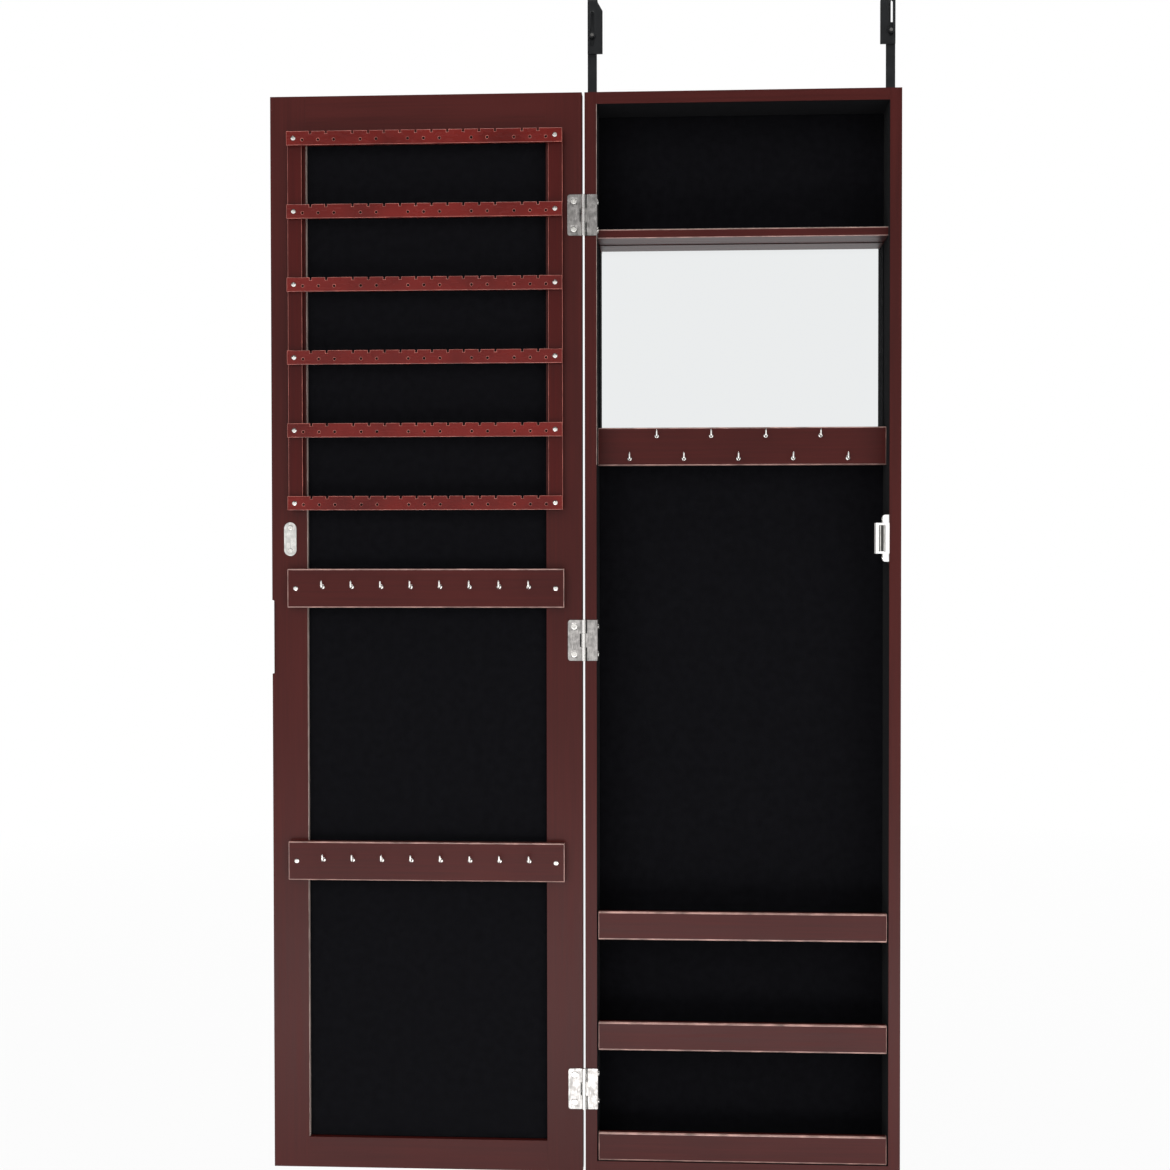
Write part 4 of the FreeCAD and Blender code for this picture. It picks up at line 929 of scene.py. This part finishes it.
class CABINET_OT_hinges(bpy.types.Operator):
    """Forms the three hinges: leaves with curled knuckles, and pins with peened ends"""

    bl_idname = "cabinet.hinges"
    bl_label = "Hinges"

    half, third, clear = 22.75, 7.43, 0.3
    board, gap, pin_out = 1.3, 2.3, 0.5

    def execute(self, context):
        low, high = BOX["hinge_pins"]
        axis = np.array([(low[0] + high[0]) / 2, (low[1] + high[1]) / 2, 0])
        steel = hinge_nickel_with_highlight(context.scene.cabinet_finishes.hinge, axis[0] * MM)
        pins = []
        for word in HINGES:
            low, high = BOX[f"hinge_leaf_door_{word}"]
            centre = axis + (0, 0, (low[2] + high[2]) / 2)
            for side, leaf in (("door", self.door_leaf()), ("cabinet", self.cabinet_leaf())):
                points, faces = leaf
                name = f"hinge_leaf_{side}_{word}"
                piece(f"formed_{name}", (points + centre, faces), steel, side, (name,))
            radius = [0, 0.55, 0.9, 1.07, 1.1]
            height = [self.half + self.pin_out - drop for drop in (0, 0.04, 0.18, 0.42, 0.7)]
            pin = turned(radius + radius[::-1], height + [-z for z in reversed(height)])
            pins.append(aimed(pin, centre, np.array([0, 0, 1.0])))
        piece("peened_hinge_pins", gathered(pins), steel, "cabinet", ("hinge_pins",))
        return {"FINISHED"}

    def curl(self, side, low, high):
        """A knuckle: a strip of the leaf's edge, curled round the pin.

        Seen from above, the outer line runs straight along the leaf's rear face and then round the
        circle of radius 2, and the inner one along its front face and round the radius 1.15,
        through the same angles, from 125 degrees down to -165.
        """
        angle = np.radians(np.linspace(125, -165, 26))
        ends = np.array([-4.0, -2.6, -1.7])
        circle = np.column_stack([np.cos(angle), np.sin(angle)])
        levels = np.tile([low, high], len(ends) + len(angle))
        walls = []
        for depths, radius in (([1.5, 1.5, 1.62], 2), ([0.2, 0.2, 0.45], 1.15)):
            line = np.concatenate([np.column_stack([ends, depths]), radius * circle])
            x, y = np.repeat(line * (side, 1), 2, axis=0).T
            walls.append(np.column_stack([x, y, levels]))
        return thickened(*walls, grid_faces(len(ends) + len(angle), 2, closed=False))

    def door_leaf(self):
        """A flat plate with rounded free corners and two countersunk holes, and its middle knuckle."""
        corner = 2.8
        free, near = -17.5, -self.gap
        arc = np.array([0, 0.4, 0.75, 1.0]) * corner
        heights = np.concatenate([arc - self.half, self.half - arc])
        across = np.concatenate([free + arc, [near]])
        holes = [(-HINGE_SCREW_RISE, -10.5), (HINGE_SCREW_RISE, -10.5)]
        front, back, faces = pierced_sheet(heights, across, holes, 4.1, 3.5, 1.6)
        middle = np.array([0, (free + near) / 2])
        extent = np.array([self.half, (near - free) / 2])
        plates = []
        for points, depth in ((front, 0.2), (back, 1.5)):
            points = rounded_corners(points, middle, extent, corner, low_side_only=True)
            plates.append(np.column_stack([points[:, 1], np.full(len(points), depth), points[:, 0]]))
        plate = thickened(*plates, faces)
        return gathered([plate, self.curl(1, -self.third, self.third)])

    def cabinet_leaf(self):
        """A plate bent square round the board's edge, with a drilled flange and two knuckles.

        With s the way across the plate, the bend's angle b grows from 0 to 90 degrees between
        the plate's end and the flange, and a point is x = plate + radius sin b and
        y = 1.5 - radius cos b + flange, where the radius is 1.3 outside and 0 inside.
        """
        plate, bend, flange = 12.2, self.board * math.pi / 2, 12.7
        across = np.concatenate([[0], plate + bend * np.linspace(0, 1, 6), [plate + bend + flange]])
        heights = np.array([-self.half, self.half])
        holes = [(rise, plate + bend + 7.1) for rise in (-HINGE_SCREW_RISE, HINGE_SCREW_RISE)]
        front, back, faces = pierced_sheet(heights, across, holes, 2.6, 1.5, 1.5)
        walls = []
        for points, radius in ((front, self.board), (back, 0.0)):
            way = points[:, 1]
            angle = np.clip((way - plate) / bend, 0, 1) * np.pi / 2
            x = self.gap + np.clip(way, 0, plate) + radius * np.sin(angle)
            y = 1.5 - radius * np.cos(angle) + np.clip(way - plate - bend, 0, flange)
            walls.append(np.column_stack([x, y, points[:, 0]]))
        near = self.third + self.clear
        knuckles = [self.curl(-1, low, high) for low, high in ((-self.half, -near), (near, self.half))]
        return gathered([thickened(*walls, faces), *knuckles])


class CABINET_OT_catch(bpy.types.Operator):
    """Finishes the magnetic catch and the strike plate"""

    bl_idname = "cabinet.catch"
    bl_label = "Catch and strike plate"

    def execute(self, context):
        sizes, colours = chosen(context)
        zinc = brushed("zinc_plate", colours.zinc, 0.3, (1400.0, 1400.0, 160.0), 0.16)
        dress(("catch_housing",), moulded_plastic(colours.plastic), 0.0005, sizes.edge_steps)
        dress(("catch_magnet",), ferrite(), 0.0002)
        dress(("catch_pole_plates", "strike_plate"), zinc, sizes.metal_edge)
        return {"FINISHED"}


class CABINET_OT_hangers(bpy.types.Operator):
    """Coats the straps and over-door hooks, and makes their studs and nuts"""

    bl_idname = "cabinet.hangers"
    bl_label = "Straps and hooks"

    def execute(self, context):
        sizes, colours = chosen(context)
        coat = powder_coat(colours.coat)
        bare = brushed("stud_steel", scaled(colours.zinc, 0.4), 0.34, 900.0, 0.2)
        dress(STRAPS + HANGERS, coat, sizes.metal_edge)
        low, high = BOX["hanger_studs"]
        radius = 2.0
        columns, height = (low[0] + radius, high[0] - radius), (low[2] + high[2]) / 2
        stud = threaded(radius, 0.28, 0.7, high[1] - low[1], 0.0, columns=18)
        studs = [aimed(stud, np.array([x, high[1], height]), FRONT) for x in columns]
        piece("threaded_studs", gathered(studs), bare, "cabinet", ("hanger_studs",))
        low, high = BOX["hanger_nuts"]
        nut = self.hex_nut(3.5, high[1] - low[1])
        nuts = [aimed(nut, np.array([x, high[1], height]), FRONT, math.pi / 6) for x in columns]
        piece("chamfered_nuts", gathered(nuts), coat, "cabinet", ("hanger_nuts",))
        return {"FINISHED"}

    def hex_nut(self, apothem, board):
        """A six-sided nut about z with chamfered faces and a bored middle.

        At angle a its side lies at apothem / cos(a mod 60 - 30 degrees), and near its two faces
        at no more than the chamfer's circle.
        """
        columns = 48
        angle = np.linspace(0, 2 * np.pi, columns, endpoint=False)
        side = apothem / np.cos(angle % (math.pi / 3) - math.pi / 6)
        bore = np.full(columns, 1.95)
        chamfer, circle = np.minimum(side, apothem * 1.09), np.full(columns, apothem)
        rows = [bore, circle, chamfer, side, side, chamfer, circle, bore]
        height = [0, 0, 0.25, 0.55, board - 0.55, board - 0.25, board, board]
        return turned(np.array(rows), height, columns, ring=True)


class CABINET_OT_studio(bpy.types.Operator):
    """Sets the pale floor, the soft lamps, the white surroundings and the camera"""

    bl_idname = "cabinet.studio"
    bl_label = "Studio"

    floor_height, floor_grey, half_floor = -0.86, 0.86, 7
    horizon, overhead, daylight = (0.16, 0.25), 0.06, 0.42
    aim = Vector((-0.17, 0, 0.05))
    # name, place, width, power and, for a strip, height
    lamps = (
        ("key_lamp", (-1.5, -3.1, 1.7), 2.6, 56.0, None),
        ("fill_lamp", (2.3, -2.7, 0.7), 2.2, 24.0, None),
        ("rear_lamp", (0.6, 2.6, 2.0), 2.4, 40.0, None),
        ("top_strip", (-0.17, -0.55, 2.2), 1.8, 18.0, 0.9),
        ("low_strip", (-0.1, -1.1, -0.67), 2.0, 6.0, 0.34),
    )
    camera_place, yaw, pitch, roll = (-0.0616, -2.0751, 0.0944), -0.05647, -0.01922, -0.00116
    sensor, focal_pixels, photo_pixels = 36.0, 1800, 1170

    def execute(self, context):
        self.lay_floor()
        self.light_world(context.scene)
        for lamp in self.lamps:
            self.hang_lamp(*lamp)
        self.set_camera(context.scene)
        context.scene.view_settings.view_transform = "Standard"
        return {"FINISHED"}

    def lay_floor(self):
        """A wide, flat, pale floor below the hanging cabinet, whiter far from it."""
        side = np.linspace(-self.half_floor, self.half_floor, 15)
        x, y = np.meshgrid(side, side, indexing="ij")
        points = np.column_stack([x.ravel(), y.ravel(), np.full(x.size, self.floor_height)])
        mesh = bpy.data.meshes.new("floor")
        faces = grid_faces(len(side), len(side), closed=False)
        mesh.from_pydata(points.tolist(), [], faces.tolist())
        floor = bpy.data.objects.new("floor", mesh)
        bpy.context.scene.collection.objects.link(floor)
        material, tree, shader = finish("pale_floor", (self.floor_grey,) * 3, 0.8, Specular_IOR_Level=0.1)
        far = add(tree, "VectorMath", {0: place_on(tree)}, operation="LENGTH").outputs["Value"]
        level = ranged(tree, far, 0.9, 1.0, 1.4, 4.5)
        share = sums(tree, "MULTIPLY", self.seen_directly(tree, add(tree, "LightPath")), level)
        white = add(tree, "Emission", {"Strength": 1.0}).outputs[0]
        mix = add(tree, "MixShader", {0: share, 1: shader.outputs[0], 2: white})
        tree.links.new(mix.outputs[0], tree.nodes["Material Output"].inputs["Surface"])
        mesh.materials.append(material)

    def seen_directly(self, tree, path):
        """1 for rays from the camera, in a reflection or through glass, else 0."""
        kinds = ("Camera", "Glossy", "Transmission")
        camera, glossy, clear = (path.outputs[f"Is {kind} Ray"] for kind in kinds)
        return sums(tree, "MAXIMUM", sums(tree, "MAXIMUM", camera, glossy), clear)

    def light_world(self, scene):
        """White where it is seen, darker overhead in reflections, and a plain grey light."""
        world = bpy.data.worlds.new("surroundings")
        world.use_nodes = True
        scene.world = world
        tree = world.node_tree
        tree.nodes.clear()
        path = add(tree, "LightPath")
        rise = add(tree, "SeparateXYZ", {"Vector": place_on(tree, "Generated")}).outputs["Z"]
        room = ranged(tree, rise, 1.0, self.overhead, *self.horizon)
        level = sums(tree, "MAXIMUM", room, path.outputs["Is Camera Ray"])
        white = (1, 1, 1, 1)
        shown = add(tree, "Background", {"Color": white, "Strength": level}).outputs[0]
        light = add(tree, "Background", {"Color": white, "Strength": self.daylight}).outputs[0]
        mix = add(tree, "MixShader", {0: self.seen_directly(tree, path), 1: light, 2: shown})
        tree.links.new(mix.outputs[0], add(tree, "OutputWorld").inputs["Surface"])

    def hang_lamp(self, name, place, width, power, height):
        """A soft lamp that faces the open cabinet. A strip shows in gloss, but in no mirror."""
        lamp = bpy.data.lights.new(name, "AREA")
        lamp.shape = "RECTANGLE"
        lamp.size = width
        lamp.size_y = height or width
        lamp.energy = power
        made = bpy.data.objects.new(name, lamp)
        turn = (self.aim - Vector(place)).to_track_quat("-Z", "Y").to_matrix().to_4x4()
        made.matrix_world = Matrix.Translation(place) @ turn
        made.visible_camera = False
        made.visible_glossy = height is not None
        if height is not None:
            unlit = bpy.data.collections.new(f"{name}_leaves_out")
            for mirror in MIRRORS:
                unlit.objects.link(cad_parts[mirror])
            for item in unlit.collection_objects:
                item.light_linking.link_state = "EXCLUDE"
            made.light_linking.receiver_collection = unlit
        bpy.context.scene.collection.objects.link(made)

    def set_camera(self, scene):
        """A nearly level camera in front of the box, turned a little to its left."""
        sin_yaw, cos_yaw = math.sin(self.yaw), math.cos(self.yaw)
        sin_pitch, cos_pitch = math.sin(self.pitch), math.cos(self.pitch)
        forward = Vector((sin_yaw * cos_pitch, cos_yaw * cos_pitch, sin_pitch))
        level = Vector((cos_yaw, -sin_yaw, 0))
        above = level.cross(forward)
        right = math.cos(self.roll) * level + math.sin(self.roll) * above
        up = math.cos(self.roll) * above - math.sin(self.roll) * level
        turn = Matrix((right, up, -forward)).transposed().to_4x4()
        lens = bpy.data.cameras.new("camera")
        lens.sensor_width = self.sensor
        lens.lens = self.sensor * self.focal_pixels / self.photo_pixels
        camera = bpy.data.objects.new("camera", lens)
        camera.matrix_world = Matrix.Translation(self.camera_place) @ turn
        scene.collection.objects.link(camera)
        scene.camera = camera


OPERATORS = (
    CABINET_OT_woodwork,
    CABINET_OT_linings,
    CABINET_OT_mirrors,
    CABINET_OT_earring_rack,
    CABINET_OT_screws,
    CABINET_OT_cup_hooks,
    CABINET_OT_hinges,
    CABINET_OT_catch,
    CABINET_OT_hangers,
    CABINET_OT_studio,
)


class CABINET_PT_pieces(bpy.types.Panel):
    """Lists the cabinet's pieces, sizes and colours"""

    bl_idname = "CABINET_PT_pieces"
    bl_label = "Jewelry mirror cabinet"
    bl_space_type = "VIEW_3D"
    bl_region_type = "UI"
    bl_category = "Cabinet"

    def draw(self, context):
        for operator in OPERATORS:
            self.layout.operator(operator.bl_idname)
        for group in (context.scene.cabinet_sizes, context.scene.cabinet_finishes):
            for name in group.bl_rna.properties.keys():
                if name not in ("rna_type", "name"):
                    self.layout.prop(group, name)


CLASSES = (CabinetSizes, CabinetFinishes, *OPERATORS, CABINET_PT_pieces)


def register():
    for kind in CLASSES:
        bpy.utils.register_class(kind)
    bpy.types.Scene.cabinet_sizes = PointerProperty(type=CabinetSizes)
    bpy.types.Scene.cabinet_finishes = PointerProperty(type=CabinetFinishes)


def unregister():
    del bpy.types.Scene.cabinet_finishes
    del bpy.types.Scene.cabinet_sizes
    for kind in reversed(CLASSES):
        bpy.utils.unregister_class(kind)


def main():
    register()
    bpy.ops.cabinet.woodwork()
    bpy.ops.cabinet.linings()
    bpy.ops.cabinet.mirrors()
    bpy.ops.cabinet.earring_rack()
    bpy.ops.cabinet.screws()
    bpy.ops.cabinet.cup_hooks()
    bpy.ops.cabinet.hinges()
    bpy.ops.cabinet.catch()
    bpy.ops.cabinet.hangers()
    bpy.ops.cabinet.studio()


if __name__ == "__main__":
    main()
